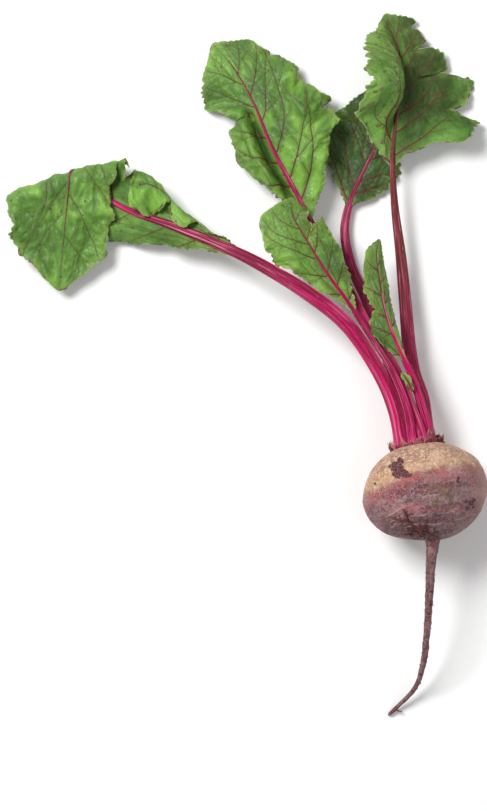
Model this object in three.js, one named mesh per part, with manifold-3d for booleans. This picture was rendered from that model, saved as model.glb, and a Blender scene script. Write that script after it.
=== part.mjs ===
// One beetroot with its leaves, as picked, lying on a table. Millimetres, +Z up.
// The origin is the middle of the small flat spot that the root lies on, so the table is z = 0.
// The leaves point along +Y and the taproot along -Y. The crown dips towards the table.
import * as THREE from "three";
import { mergeVertices } from "three/addons/utils/BufferGeometryUtils.js";
import Module from "manifold-3d";

// Root
const ROOT_DIAMETER = 75;
const ROOT_TOP = 29; // widest circle to the top of the crown's curve
const ROOT_BOTTOM = 30; // widest circle to the start of the taproot
const ROOT_LEAN = 9; // degrees that the crown leans towards -X
const ROOT_DIP = 12; // degrees that the crown dips below level
const REST_DEPTH = 0.8; // how much the flat spot takes off the round
const CROWN_RADIUS = 16.2;

// Taproot
const TAIL_REACH = 108; // from the root along -Y to the tip
const TAIL_RADIUS = 2.5;
const TAIL_TIP_RADIUS = 1.0;
const TAIL_FLARE = 3.2; // extra radius where it leaves the root
const TAIL_FLARE_LENGTH = 5;

// Leaves
const LEAF_REACH = 261; // from the crown along +Y to the tip of the furthest leaf
const BLADE_THICKNESS = 1.0;
const STALK_DEPTH = 0.82; // a stalk's depth over its width
const STALK_LEAD = 6; // length over which a stalk leaves the crown squarely
const RUFFLE = 1.8; // height of the waves at a blade's margin
const RUFFLE_PITCH = 21;
const GAP = 0.35; // clear space between pieces that touch
const TABLE_BLEND = 0.7; // how softly a blade flattens onto the table
const TABLE_GAP = 0.1; // a blade that lies on the table clears it by this

// The widths given with each leaf and stub are drawn for this reach and this crown.
const DRAWN_REACH = 261;
const DRAWN_CROWN = 16.2;
const bladeScale = LEAF_REACH / DRAWN_REACH;
const crownScale = CROWN_RADIUS / DRAWN_CROWN;
const stalkScale = Math.min(bladeScale, crownScale);

// How finely the pieces are divided.
const STALK_STEPS = 20;
const STALK_SIDES = 10;
const BLADE_STEPS = 26;
const BLADE_COLUMNS = 12;
const LEAFLET_STEPS = 10;
const LEAFLET_COLUMNS = 4;
const ROOT_SIDES = 28;
const CROWN_STEPS = 7;
const BOTTOM_STEPS = 9;
const TAIL_STEPS = 22;

const Z = new THREE.Vector3(0, 0, 1);
const { clamp, degToRad, lerp, smoothstep } = THREE.MathUtils;

// Where the root, its crown and its taproot stand.
const rootRadius = ROOT_DIAMETER / 2;
const rootCentre = new THREE.Vector3(0, 0, rootRadius - REST_DEPTH);
const rootAxis = new THREE.Vector3(0, 1, 0)
  .applyAxisAngle(new THREE.Vector3(1, 0, 0), degToRad(-ROOT_DIP))
  .applyAxisAngle(Z, degToRad(ROOT_LEAN));
const crownRight = new THREE.Vector3().crossVectors(rootAxis, Z).normalize();
const crownUp = new THREE.Vector3().crossVectors(crownRight, rootAxis);
const crownLevel = ROOT_TOP * Math.sqrt(1 - (CROWN_RADIUS / rootRadius) ** 2);
const crownCentre = rootCentre.clone().addScaledVector(rootAxis, crownLevel);
const tailStart = rootCentre.clone().addScaledVector(rootAxis, -ROOT_BOTTOM);

// A smooth value at t, from 0 to 1, through evenly spaced values.
function through(values, t) {
  const x = clamp(t, 0, 1) * (values.length - 1);
  const i = Math.min(Math.floor(x), values.length - 2);
  const f = x - i;
  const [b, c] = [values[i], values[i + 1]];
  const a = values[i - 1] ?? b;
  const d = values[i + 2] ?? c;
  const slope = c - a;
  const bend = 2 * a - 5 * b + 4 * c - d;
  const twist = 3 * (b - c) + d - a;
  return b + 0.5 * f * (slope + f * (bend + f * twist));
}

// The point of a line at share t of its length, and the three directions there.
function station(line, t) {
  const share = clamp(t, 0, 1);
  const forward = line.getTangentAt(share);
  const right = new THREE.Vector3().crossVectors(forward, Z).normalize();
  const up = new THREE.Vector3().crossVectors(right, forward);
  return { point: line.getPointAt(share), forward, right, up };
}

// Moves each vertex of a geometry to where place(x, y, z) says.
function reshape(geometry, place) {
  const position = geometry.getAttribute("position");
  const vertex = new THREE.Vector3();
  for (let i = 0; i < position.count; i++) {
    vertex.fromBufferAttribute(position, i);
    const moved = place(vertex.x, vertex.y, vertex.z);
    position.setXYZ(i, moved.x, moved.y, moved.z);
  }
  return geometry;
}

// Root: a lathe form of the round root and its taproot, bent along the taproot's line.
function rootProfile(lineLength) {
  const topAngle = Math.acos(crownLevel / ROOT_TOP);
  const points = [new THREE.Vector2(0, 0)];
  for (let i = 0; i <= CROWN_STEPS; i++) {
    const angle = lerp(topAngle, Math.PI / 2, i / CROWN_STEPS);
    points.push(new THREE.Vector2(rootRadius * Math.sin(angle), crownLevel - ROOT_TOP * Math.cos(angle)));
  }
  const tailRadius = (distance) => {
    const share = clamp(distance / (lineLength - crownLevel - ROOT_BOTTOM), 0, 1);
    const flare = TAIL_FLARE * Math.exp(-Math.max(distance, 0) / TAIL_FLARE_LENGTH);
    return lerp(TAIL_RADIUS, TAIL_TIP_RADIUS, share) + flare;
  };
  const lastAngle = Math.asin(0.2);
  for (let i = 1; i <= BOTTOM_STEPS; i++) {
    const angle = lerp(Math.PI / 2, lastAngle, i / BOTTOM_STEPS);
    points.push(new THREE.Vector2(rootRadius * Math.sin(angle), crownLevel + ROOT_BOTTOM * Math.cos(angle)));
  }
  const tailLength = lineLength - crownLevel - ROOT_BOTTOM;
  for (let i = 0; i <= TAIL_STEPS; i++) {
    const distance = tailLength * (i / TAIL_STEPS) ** 1.15;
    points.push(new THREE.Vector2(tailRadius(distance), crownLevel + ROOT_BOTTOM + distance));
  }
  points.push(new THREE.Vector2(0, lineLength));
  return points;
}

// Steps of the taproot: sideways and along, as shares of its reach, and height as a share of its start's.
const TAIL_ROUTE = [
  [-0.01, -0.12, 1.03],
  [-0.018, -0.31, 0.98],
  [-0.029, -0.53, 0.76],
  [-0.044, -0.7, 0.48],
  [-0.087, -0.84, 0.215],
  [-0.234, -1.0, 0.033],
];

function makeRoot(wasm) {
  const line = new THREE.CatmullRomCurve3([
    crownCentre,
    rootCentre,
    tailStart,
    ...TAIL_ROUTE.map(([x, y, z]) => new THREE.Vector3(
      tailStart.x + x * TAIL_REACH,
      tailStart.y + y * TAIL_REACH,
      z * tailStart.z,
    )),
  ]);
  const length = line.getLength();
  const form = new THREE.LatheGeometry(rootProfile(length), ROOT_SIDES);
  reshape(form, (x, y, z) => {
    const { point, right, up } = station(line, y / length);
    return point.addScaledVector(right, x).addScaledVector(up, z);
  });
  const whole = solidOf(wasm, form);
  const below = new THREE.BoxGeometry(3 * ROOT_DIAMETER, 3 * ROOT_DIAMETER, ROOT_DIAMETER);
  below.translate(0, 0, -ROOT_DIAMETER / 2);
  return geometryOf(whole.subtract(solidOf(wasm, below)));
}

function solidOf(wasm, geometry) {
  const bare = geometry.clone();
  bare.deleteAttribute("normal");
  bare.deleteAttribute("uv");
  const merged = mergeVertices(bare, 1e-3);
  return new wasm.Manifold(new wasm.Mesh({
    numProp: 3,
    vertProperties: merged.getAttribute("position").array,
    triVerts: new Uint32Array(merged.index.array),
  }));
}

function geometryOf(solid) {
  const mesh = solid.getMesh();
  return new THREE.BufferGeometry()
    .setAttribute("position", new THREE.BufferAttribute(mesh.vertProperties, 3))
    .setIndex(new THREE.BufferAttribute(mesh.triVerts, 1));
}

// The leaves. seat: where the stalk stands on the crown, right and up from its middle, as shares of
// its radius. route: the stalk and midrib, right and forward of the crown as shares of LEAF_REACH,
// with the height as a share of the crown's. stalk: its widths along it, and stalkEnd the share of
// the route where it ends. bladeFrom: the share of the route where the blade starts. faceUp: 1 with
// the upper side up, -1 with the underside up. Each half has its widths along the blade, how far it
// lifts and how much it curls from midrib to margin in degrees, all at even steps.
const LEAVES = [
  {
    name: "left_leaf",
    seat: [-0.55, 0.09],
    route: [
      [-0.05, 0.082, 1.04], [-0.08, 0.16, 1.08], [-0.158, 0.279, 1.2], [-0.24, 0.348, 1.23],
      [-0.385, 0.436, 1.08], [-0.557, 0.512, 0.68], [-0.686, 0.562, 0.38], [-0.778, 0.631, 0.27],
      [-1.023, 0.82, 0.25],
    ],
    stalk: [8.4, 8.6, 8.8, 8.2, 6.4, 4.8, 3],
    stalkEnd: 0.71,
    bladeFrom: 0.452,
    faceUp: -1,
    right: {
      widths: [2, 9, 21, 32, 30, 26, 25, 21, 4],
      lift: [0, 10, 34, 40, 22, 5, 0, 0, 0],
      curl: [0, 20, 120, 150, 70, 10, 0, -10, -10],
    },
    left: {
      widths: [2, 7, 14, 20, 31, 35, 34, 24, 4],
      lift: [0, -12, -20, -18, -12, -4, 0, 0, 0],
      curl: [0, -20, -40, -40, -20, 0, 0, -10, -10],
    },
    fold: { at: 0.768, turn: -29, radius: 4.5, angle: 187 },
  },
  {
    name: "front_leaf",
    seat: [-0.14, 0.36],
    route: [
      [-0.024, 0.089, 1.29], [-0.058, 0.177, 1.25], [-0.103, 0.25, 1.08], [-0.158, 0.335, 1.0],
      [-0.212, 0.409, 1.07], [-0.258, 0.485, 1.1], [-0.286, 0.535, 1.06], [-0.291, 0.577, 0.9],
    ],
    stalk: [5.6, 4.8, 4.2, 3.6, 3, 2.4, 1.6],
    stalkEnd: 0.93,
    bladeFrom: 0.53,
    faceUp: 1,
    right: {
      widths: [1.5, 7, 12, 16, 17, 10, 12, 11, 4],
      lift: [0, 0, -4, -8, -8, -6, -6, -6, -6],
      curl: [0, -10, -20, -30, -30, -30, -30, -30, -30],
    },
    left: {
      widths: [1.5, 4, 8, 13, 18, 23, 25, 20, 5],
      lift: [0, 4, 8, 8, 6, 4, 0, -4, -6],
      curl: [0, -10, -25, -40, -45, -45, -40, -40, -40],
    },
  },
  {
    name: "broad_leaf",
    seat: [0.26, 0.31],
    route: [
      [-0.012, 0.094, 1.12], [-0.044, 0.174, 1.0], [-0.107, 0.278, 0.86], [-0.169, 0.397, 0.68],
      [-0.231, 0.501, 0.58], [-0.286, 0.607, 0.55], [-0.334, 0.698, 0.52], [-0.375, 0.797, 0.43],
      [-0.421, 0.88, 0.27], [-0.471, 0.941, 0.1],
    ],
    stalk: [5.6, 5.6, 4.8, 4, 3.8, 3.4, 2.6, 1.6],
    stalkEnd: 0.92,
    bladeFrom: 0.55,
    faceUp: 1,
    right: {
      widths: [2, 13, 28, 38, 37, 33, 27, 16, 4],
      lift: [0, 4, 6, 2, -4, -6, -4, -2, 0],
      curl: [0, -20, -50, -55, -50, -45, -45, -40, -30],
    },
    left: {
      widths: [2, 9, 18, 23, 22, 19, 27, 21, 5],
      lift: [0, -4, -8, -12, -12, -10, -8, -4, 0],
      curl: [0, -30, -55, -60, -40, -30, -30, -30, -30],
    },
  },
  {
    name: "narrow_leaf",
    seat: [0.54, 0.05],
    route: [
      [0.015, 0.085, 1.08], [-0.012, 0.163, 1.13], [-0.047, 0.239, 1.17], [-0.071, 0.305, 1.18],
      [-0.088, 0.388, 1.14], [-0.094, 0.447, 1.07], [-0.088, 0.482, 1.0],
    ],
    stalk: [4.6, 4.8, 4, 2.8, 2, 1.4],
    stalkEnd: 0.92,
    bladeFrom: 0.42,
    faceUp: 1,
    right: {
      widths: [1.5, 3, 5, 7, 7, 7, 6, 4, 2],
      lift: [0, -30, -50, -60, -60, -50, -40, -30, -20],
      curl: [0, -10, -20, -20, -20, -20, -20, -20, -20],
    },
    left: {
      widths: [1.5, 7, 11, 11, 9, 10, 9, 7, 2],
      lift: [0, -4, -6, -6, -4, -4, -4, -4, -4],
      curl: [0, -10, -20, -25, -25, -20, -20, -20, -20],
    },
  },
  {
    name: "right_leaf",
    seat: [0.48, -0.36],
    route: [
      [0.012, 0.118, 0.74], [-0.006, 0.171, 0.65], [-0.016, 0.227, 0.58], [-0.026, 0.342, 0.5],
      [-0.036, 0.447, 0.48], [-0.051, 0.572, 0.54], [-0.055, 0.687, 0.56], [-0.046, 0.765, 0.5],
      [-0.034, 0.861, 0.37], [-0.044, 0.945, 0.22], [-0.07, 1.01, 0.08],
    ],
    stalk: [7.2, 8.2, 8.2, 7.6, 6.6, 5, 3.4, 2],
    stalkEnd: 0.73,
    bladeFrom: 0.64,
    faceUp: -1,
    right: {
      widths: [2, 16, 38, 48, 42, 25, 16, 11, 4],
      lift: [0, 8, 2, -8, -12, -10, -6, -2, 0],
      curl: [0, 40, 30, 10, -5, -15, -20, -20, -20],
    },
    left: {
      widths: [2, 12, 26, 40, 44, 40, 28, 18, 4],
      lift: [0, 12, 30, 54, 60, 54, 40, 26, 10],
      curl: [0, -10, -60, -122, -138, -125, -90, -60, -30],
    },
  },
  {
    name: "back_leaf",
    seat: [-0.1, -0.3],
    route: [
      [-0.028, 0.1, 0.7], [-0.058, 0.181, 0.54], [-0.086, 0.262, 0.41], [-0.117, 0.348, 0.3],
      [-0.151, 0.428, 0.23], [-0.165, 0.508, 0.18], [-0.15, 0.579, 0.15], [-0.121, 0.643, 0.13],
      [-0.09, 0.71, 0.11], [-0.077, 0.784, 0.1], [-0.084, 0.853, 0.1],
    ],
    stalk: [6.4, 6.4, 6.1, 6, 5.2, 3.6, 2.2],
    stalkEnd: 0.9,
    bladeFrom: 0.66,
    faceUp: 1,
    right: {
      widths: [2, 11, 18, 20, 18, 16, 12, 8, 3],
      lift: [0, -4, -6, -6, -6, -6, -6, -4, 0],
      curl: [0, -10, -10, -10, -10, -10, -10, -10, -10],
    },
    left: {
      widths: [2, 12, 23, 32, 36, 34, 28, 18, 4],
      lift: [0, -4, -6, -6, -6, -6, -6, -4, 0],
      curl: [0, 0, 5, 5, 5, 5, 0, 0, 0],
    },
  },
];

// The small leaflet that grows on the broad leaf's stalk.
const LEAFLET = {
  name: "leaflet",
  route: [[-0.013, 0.132, 1.255], [-0.023, 0.155, 1.265], [-0.037, 0.175, 1.28]],
  bladeFrom: 0,
  faceUp: 1,
  right: { widths: [1, 2.2, 1.8, 2.4, 2, 1], lift: [20, 10, -10], curl: [-20, -20, -20] },
  left: { widths: [1, 1.8, 2.2, 1.6, 2, 1], lift: [0, 10, 10], curl: [-20, -20, -20] },
};

function leafLine(leaf) {
  const points = leaf.route.map(([x, y, z]) => new THREE.Vector3(
    crownCentre.x + x * LEAF_REACH,
    crownCentre.y + y * LEAF_REACH,
    z * crownCentre.z,
  ));
  if (leaf.seat) {
    const seat = crownCentre.clone()
      .addScaledVector(crownRight, leaf.seat[0] * CROWN_RADIUS)
      .addScaledVector(crownUp, leaf.seat[1] * CROWN_RADIUS)
      .addScaledVector(rootAxis, GAP);
    points.unshift(seat, seat.clone().addScaledVector(rootAxis, STALK_LEAD));
  }
  return new THREE.CatmullRomCurve3(points);
}

// Half the depth of the stalk under the blade, at share t of the leaf's route.
function stalkHalfDepth(leaf, t) {
  if (!leaf.stalk) return 0;
  return (STALK_DEPTH * stalkScale * through(leaf.stalk, t / leaf.stalkEnd)) / 2;
}

function makeStalk(leaf) {
  const line = leafLine(leaf);
  const rod = new THREE.CylinderGeometry(1, 1, 1, STALK_SIDES, STALK_STEPS);
  return reshape(rod, (x, y, z) => {
    const share = y + 0.5;
    const halfWidth = (stalkScale * through(leaf.stalk, share)) / 2;
    const { point, right, up } = station(line, share * leaf.stalkEnd);
    // The first section lies square to the crown.
    const square = share < 1e-6;
    return point
      .addScaledVector(square ? crownRight : right, x * halfWidth)
      .addScaledVector(square ? crownUp : up, z * halfWidth * STALK_DEPTH);
  });
}

// Where the blade's half is, outward and upward from the midrib, at share v from midrib to margin.
function section(half, land, along, v) {
  const STEPS = 12;
  const width = bladeScale * through(half.widths, along);
  const lift = through(half.lift, along);
  const curl = through(half.curl, along);
  let outward = 0;
  let upward = 0;
  for (let i = 0; i < STEPS; i++) {
    const share = (v * (i + 0.5)) / STEPS;
    const past = smoothstep(share * width, land, 2 * land + 0.5);
    const angle = degToRad(past * (lift - curl * (0.5 - share)));
    outward += (Math.cos(angle) * v * width) / STEPS;
    upward += (Math.sin(angle) * v * width) / STEPS;
  }
  return { outward, upward };
}

// Wraps what lies past a crease over the top, round a circle of the fold's radius.
function foldOver(point, crease) {
  const { origin, across, height, radius, angle } = crease;
  const past = point.clone().sub(origin).dot(across);
  if (past <= 0) return point;
  const turned = Math.min(past / radius, angle);
  const left = past - turned * radius;
  const arm = radius - (point.z - height);
  const moved = arm * Math.sin(turned) + left * Math.cos(turned);
  const z = height + radius - arm * Math.cos(turned) + left * Math.sin(turned);
  const folded = point.clone().addScaledVector(across, moved - past);
  folded.z = z;
  return folded;
}

function creaseOf(leaf, line) {
  if (!leaf.fold) return null;
  const { point, forward } = station(line, leaf.fold.at);
  const across = new THREE.Vector3(forward.x, forward.y, 0).normalize();
  across.applyAxisAngle(Z, degToRad(leaf.fold.turn));
  return {
    origin: point,
    across,
    height: point.z,
    radius: leaf.fold.radius,
    angle: degToRad(leaf.fold.angle),
  };
}

// The middle surface of a blade, along from 0 to 1, and across from -1 at the left margin to 1.
function bladeSurface(leaf) {
  const line = leafLine(leaf);
  const length = line.getLength() * (1 - leaf.bladeFrom);
  const crease = creaseOf(leaf, line);
  const table = BLADE_THICKNESS / 2 + TABLE_GAP;
  return (along, across) => {
    const t = lerp(leaf.bladeFrom, 1, along);
    const { point, right, up } = station(line, t);
    const halfDepth = stalkHalfDepth(leaf, t);
    const land = halfDepth / STALK_DEPTH;
    const v = Math.abs(across);
    const { outward, upward } = section(across < 0 ? leaf.left : leaf.right, land, along, v);
    const phase = (2 * Math.PI * along * length) / RUFFLE_PITCH + (across < 0 ? 2 : 0);
    const rim = Math.min(1, 4 * along, 4 * (1 - along)) * v ** 2;
    const ruffle = leaf.stalk ? RUFFLE * rim * Math.sin(phase) : 0;
    const clear = leaf.stalk ? halfDepth + GAP + BLADE_THICKNESS / 2 : 0;
    point
      .addScaledVector(right, Math.sign(across) * outward)
      .addScaledVector(up, leaf.faceUp * clear + upward + ruffle);
    const folded = crease ? foldOver(point, crease) : point;
    const above = folded.z - table;
    folded.z = table + 0.5 * (above + Math.hypot(above, 2 * TABLE_BLEND));
    return folded;
  };
}

function makeBlade(leaf, steps, columns) {
  const surface = bladeSurface(leaf);
  const sheet = new THREE.BoxGeometry(2, 1, 1, columns, steps, 1);
  const NUDGE = 1e-3;
  return reshape(sheet, (x, y, z) => {
    const along = clamp(y + 0.5, NUDGE, 1 - NUDGE);
    const across = clamp(x, NUDGE - 1, 1 - NUDGE);
    const forward = surface(along + NUDGE, across).sub(surface(along - NUDGE, across));
    const right = surface(along, across + NUDGE).sub(surface(along, across - NUDGE));
    const normal = right.cross(forward).normalize();
    return surface(y + 0.5, x).addScaledVector(normal, z * BLADE_THICKNESS);
  });
}

// Stubs of old stalks round the crown: clock angle in degrees, height, width and outward lean.
const STUBS = [
  [118, 8.5, 6, 0.1], [152, 6, 5.2, 0.35], [186, 7, 4.6, 0.45], [222, 5, 5.4, 0.3], [262, 6.5, 5, 0.2],
  [300, 5.5, 5.6, 0.3], [336, 7.5, 5, 0.3], [12, 7, 5.4, 0.35], [44, 8, 5.6, 0.15], [80, 5, 4.8, 0.3],
];
const STUB_THICKNESS = 2.2;

function makeStub([clock, height, width, lean]) {
  const flake = new THREE.CylinderGeometry(0.6, 1, height, 8, 2);
  const angle = degToRad(clock);
  const halfWidth = (crownScale * width) / 2;
  const outward = crownRight.clone().multiplyScalar(Math.sin(angle))
    .addScaledVector(crownUp, Math.cos(angle));
  const sideways = new THREE.Vector3().crossVectors(rootAxis, outward);
  const seatRadius = CROWN_RADIUS - STUB_THICKNESS / 2 - GAP;
  return reshape(flake, (x, y, z) => {
    const rise = y + height / 2;
    return crownCentre.clone()
      .addScaledVector(rootAxis, GAP + rise)
      .addScaledVector(outward, seatRadius + (z * STUB_THICKNESS) / 2 + lean * rise)
      .addScaledVector(sideways, x * halfWidth);
  });
}

// Colours and gloss of the root's skin, the stalks, the blades and the stubs.
const SKIN = { color: 0x7a5a55, roughness: 0.75, metalness: 0 };
const STALK = { color: 0x9c1445, roughness: 0.4, metalness: 0 };
const LEAF = { color: 0x4c7d2c, roughness: 0.5, metalness: 0 };
const STUB = { color: 0x6d2c3a, roughness: 0.8, metalness: 0 };

function piece(name, geometry, finish) {
  const mesh = new THREE.Mesh(geometry, new THREE.MeshStandardMaterial(finish));
  mesh.name = name;
  return mesh;
}


const wasm = await Module();
wasm.setup();
const beetroot = new THREE.Group();
beetroot.add(piece("root", makeRoot(wasm), SKIN));
for (const leaf of LEAVES) {
  beetroot.add(piece(leaf.name + "_stalk", makeStalk(leaf), STALK));
  beetroot.add(piece(leaf.name + "_blade", makeBlade(leaf, BLADE_STEPS, BLADE_COLUMNS), LEAF));
}
beetroot.add(piece(LEAFLET.name, makeBlade(LEAFLET, LEAFLET_STEPS, LEAFLET_COLUMNS), LEAF));
STUBS.forEach((stub, i) => beetroot.add(piece(`crown_stub_${i + 1}`, makeStub(stub), STUB)));

export default beetroot;
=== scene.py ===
from functools import reduce
import math
import bpy
import numpy as np
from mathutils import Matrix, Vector
from mathutils.bvhtree import BVHTree


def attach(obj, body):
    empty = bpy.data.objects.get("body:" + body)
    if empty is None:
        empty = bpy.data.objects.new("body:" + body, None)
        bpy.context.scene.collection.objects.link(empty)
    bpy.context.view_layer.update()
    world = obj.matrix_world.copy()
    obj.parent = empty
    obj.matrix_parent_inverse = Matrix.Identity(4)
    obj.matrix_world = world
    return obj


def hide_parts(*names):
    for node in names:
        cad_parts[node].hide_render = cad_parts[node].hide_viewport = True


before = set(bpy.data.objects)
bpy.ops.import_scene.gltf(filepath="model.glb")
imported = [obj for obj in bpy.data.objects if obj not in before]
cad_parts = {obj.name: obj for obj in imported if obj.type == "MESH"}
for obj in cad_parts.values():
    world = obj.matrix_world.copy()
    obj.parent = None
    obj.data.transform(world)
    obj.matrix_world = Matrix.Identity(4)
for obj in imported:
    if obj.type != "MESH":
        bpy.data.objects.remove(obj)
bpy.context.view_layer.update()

mm = 0.001  # every size below is in millimetres
upward = np.array([0.0, 0.0, 1.0])
seamGap = 0.004  # vertices nearer than this are one


def unit(vectors):
    length = np.linalg.norm(vectors, axis=-1, keepdims=True)
    return vectors / np.maximum(length, 1e-9)


def rise(value, low, high):
    # 0 at low and 1 at high, softly
    share = np.clip((value - low) / (high - low), 0, 1)
    return share * share * (3 - 2 * share)


def through(values, share):
    # a smooth value at each share from 0 to 1, through evenly spaced values
    values = np.asarray(values, float)
    last = len(values) - 1
    place = np.clip(share, 0, 1) * last
    i = np.minimum(np.floor(place).astype(int), last - 1)
    f = place - i
    b = values[i]
    c = values[i + 1]
    a = np.where(i == 0, b, values[np.maximum(i - 1, 0)])
    d = np.where(i + 2 > last, c, values[np.minimum(i + 2, last)])
    return b + 0.5 * f * (c - a + f * (2 * a - 5 * b + 4 * c - d + f * (3 * (b - c) + d - a)))


def lumps(places, pitch, rng, count=9):
    # soft random hills about one pitch across, from -1 to 1 or so
    places = np.asarray(places, float)
    total = np.zeros(places.shape[:-1])
    for _ in range(count):
        direction = unit(rng.normal(size=places.shape[-1]))
        tempo = 2 * np.pi / pitch * rng.uniform(0.7, 1.3)
        total += np.sin(places @ direction * tempo + rng.uniform(0, 2 * np.pi))
    return total / math.sqrt(count)


def hills(places, rng, rows):
    # several sizes of hill together; each row holds height, pitch and count
    return sum(height * lumps(places, pitch, rng, count) for height, pitch, count in rows)


class Line:
    # a smooth line through points, read by its share of length
    def __init__(self, points, pieces=60):
        points = np.array(points, float)
        p = np.vstack([2 * points[:1] - points[1:2], points, 2 * points[-1:] - points[-2:-1]])
        f = np.linspace(0, 1, pieces, endpoint=False)[:, None]
        dense = []
        for k in range(1, len(p) - 2):
            before, start, end, after = p[k - 1:k + 3]
            d0, d1, d2 = np.maximum(np.linalg.norm(np.diff(p[k - 1:k + 3], axis=0), axis=1) ** 0.5, 1e-3)
            leave = ((start - before) / d0 - (end - before) / (d0 + d1) + (end - start) / d1) * d1
            arrive = ((end - start) / d1 - (after - start) / (d1 + d2) + (after - end) / d2) * d1
            square = 3 * (end - start) - 2 * leave - arrive
            cube = 2 * (start - end) + leave + arrive
            dense.append(start + f * (leave + f * (square + f * cube)))
        self.points = np.vstack(dense + [points[-1:]])
        steps = np.linalg.norm(np.diff(self.points, axis=0), axis=1)
        self.lengths = np.concatenate([[0], np.cumsum(steps)])
        self.length = self.lengths[-1]
        self.tangents = unit(np.gradient(self.points, self.lengths, axis=0))

    def read(self, values, place):
        return np.stack([np.interp(place, self.lengths, values[:, k]) for k in range(3)], -1)

    def at(self, share):
        # the point, forward, right and up; past its ends the line runs straight on
        place = np.asarray(share, float) * self.length
        forward = unit(self.read(self.tangents, place))
        past = place - np.clip(place, 0, self.length)
        point = self.read(self.points, place) + forward * past[..., None]
        right = unit(np.cross(forward, upward))
        return point, forward, right, np.cross(right, forward)


def deselectAll():
    if bpy.context.object and bpy.context.object.mode != "OBJECT":
        bpy.ops.object.mode_set(mode="OBJECT")
    bpy.ops.object.select_all(action="DESELECT")


def newSheet(name, columns, steps):
    # a flat grid, and the place of each vertex in arrays of steps by columns
    deselectAll()
    bpy.ops.mesh.primitive_grid_add(x_subdivisions=columns, y_subdivisions=steps, size=2)
    piece = bpy.context.object
    piece.name = name
    piece.data.name = name
    flat = np.empty(len(piece.data.vertices) * 3)
    piece.data.vertices.foreach_get("co", flat)
    flat = flat.reshape(-1, 3)
    column = np.rint((flat[:, 0] + 1) / 2 * columns).astype(int)
    step = np.rint((flat[:, 1] + 1) / 2 * steps).astype(int)
    return piece, step * (columns + 1) + column


def shapeUp(piece, order, places, values):
    # moves every vertex to its place, and keeps the values that the materials read by name
    piece.data.vertices.foreach_set("co", (places.reshape(-1, 3)[order] * mm).astype(np.float32).ravel())
    for name, value in values.items():
        kind, field, width = ("FLOAT_VECTOR", "vector", 3) if value.ndim == 3 else ("FLOAT", "value", 1)
        ordered = value.reshape(-1, width)[order].astype(np.float32)
        piece.data.attributes.new(name, kind, "POINT").data.foreach_set(field, ordered.ravel())
    piece.data.update()


def closeUp(piece):
    # merges the seam and the poles, and turns the faces outwards
    deselectAll()
    piece.select_set(True)
    bpy.context.view_layer.objects.active = piece
    bpy.ops.object.mode_set(mode="EDIT")
    bpy.ops.mesh.select_all(action="SELECT")
    bpy.ops.mesh.remove_doubles(threshold=seamGap * mm)
    bpy.ops.mesh.normals_make_consistent(inside=False)
    bpy.ops.object.mode_set(mode="OBJECT")
    piece.data.shade_smooth()


def newTube(name, around, steps, place):
    # a sheet rolled round: place(angle, share) gives its points and its kept values
    piece, order = newSheet(name, around, steps)
    share, turn = np.meshgrid(np.arange(steps + 1) / steps, np.arange(around + 1) / around, indexing="ij")
    shapeUp(piece, order, *place(2 * np.pi * (turn % 1), share))
    closeUp(piece)
    return piece


def joinAll(name, pieces):
    deselectAll()
    for piece in pieces:
        piece.select_set(True)
    bpy.context.view_layer.objects.active = pieces[0]
    bpy.ops.object.join()
    pieces[0].name = name
    pieces[0].data.name = name
    return pieces[0]


def finish(piece, nodes, slot, *materials):
    piece.data.materials.clear()
    for material in materials:
        piece.data.materials.append(material)
    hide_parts(*nodes)
    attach(piece, "root")


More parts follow.
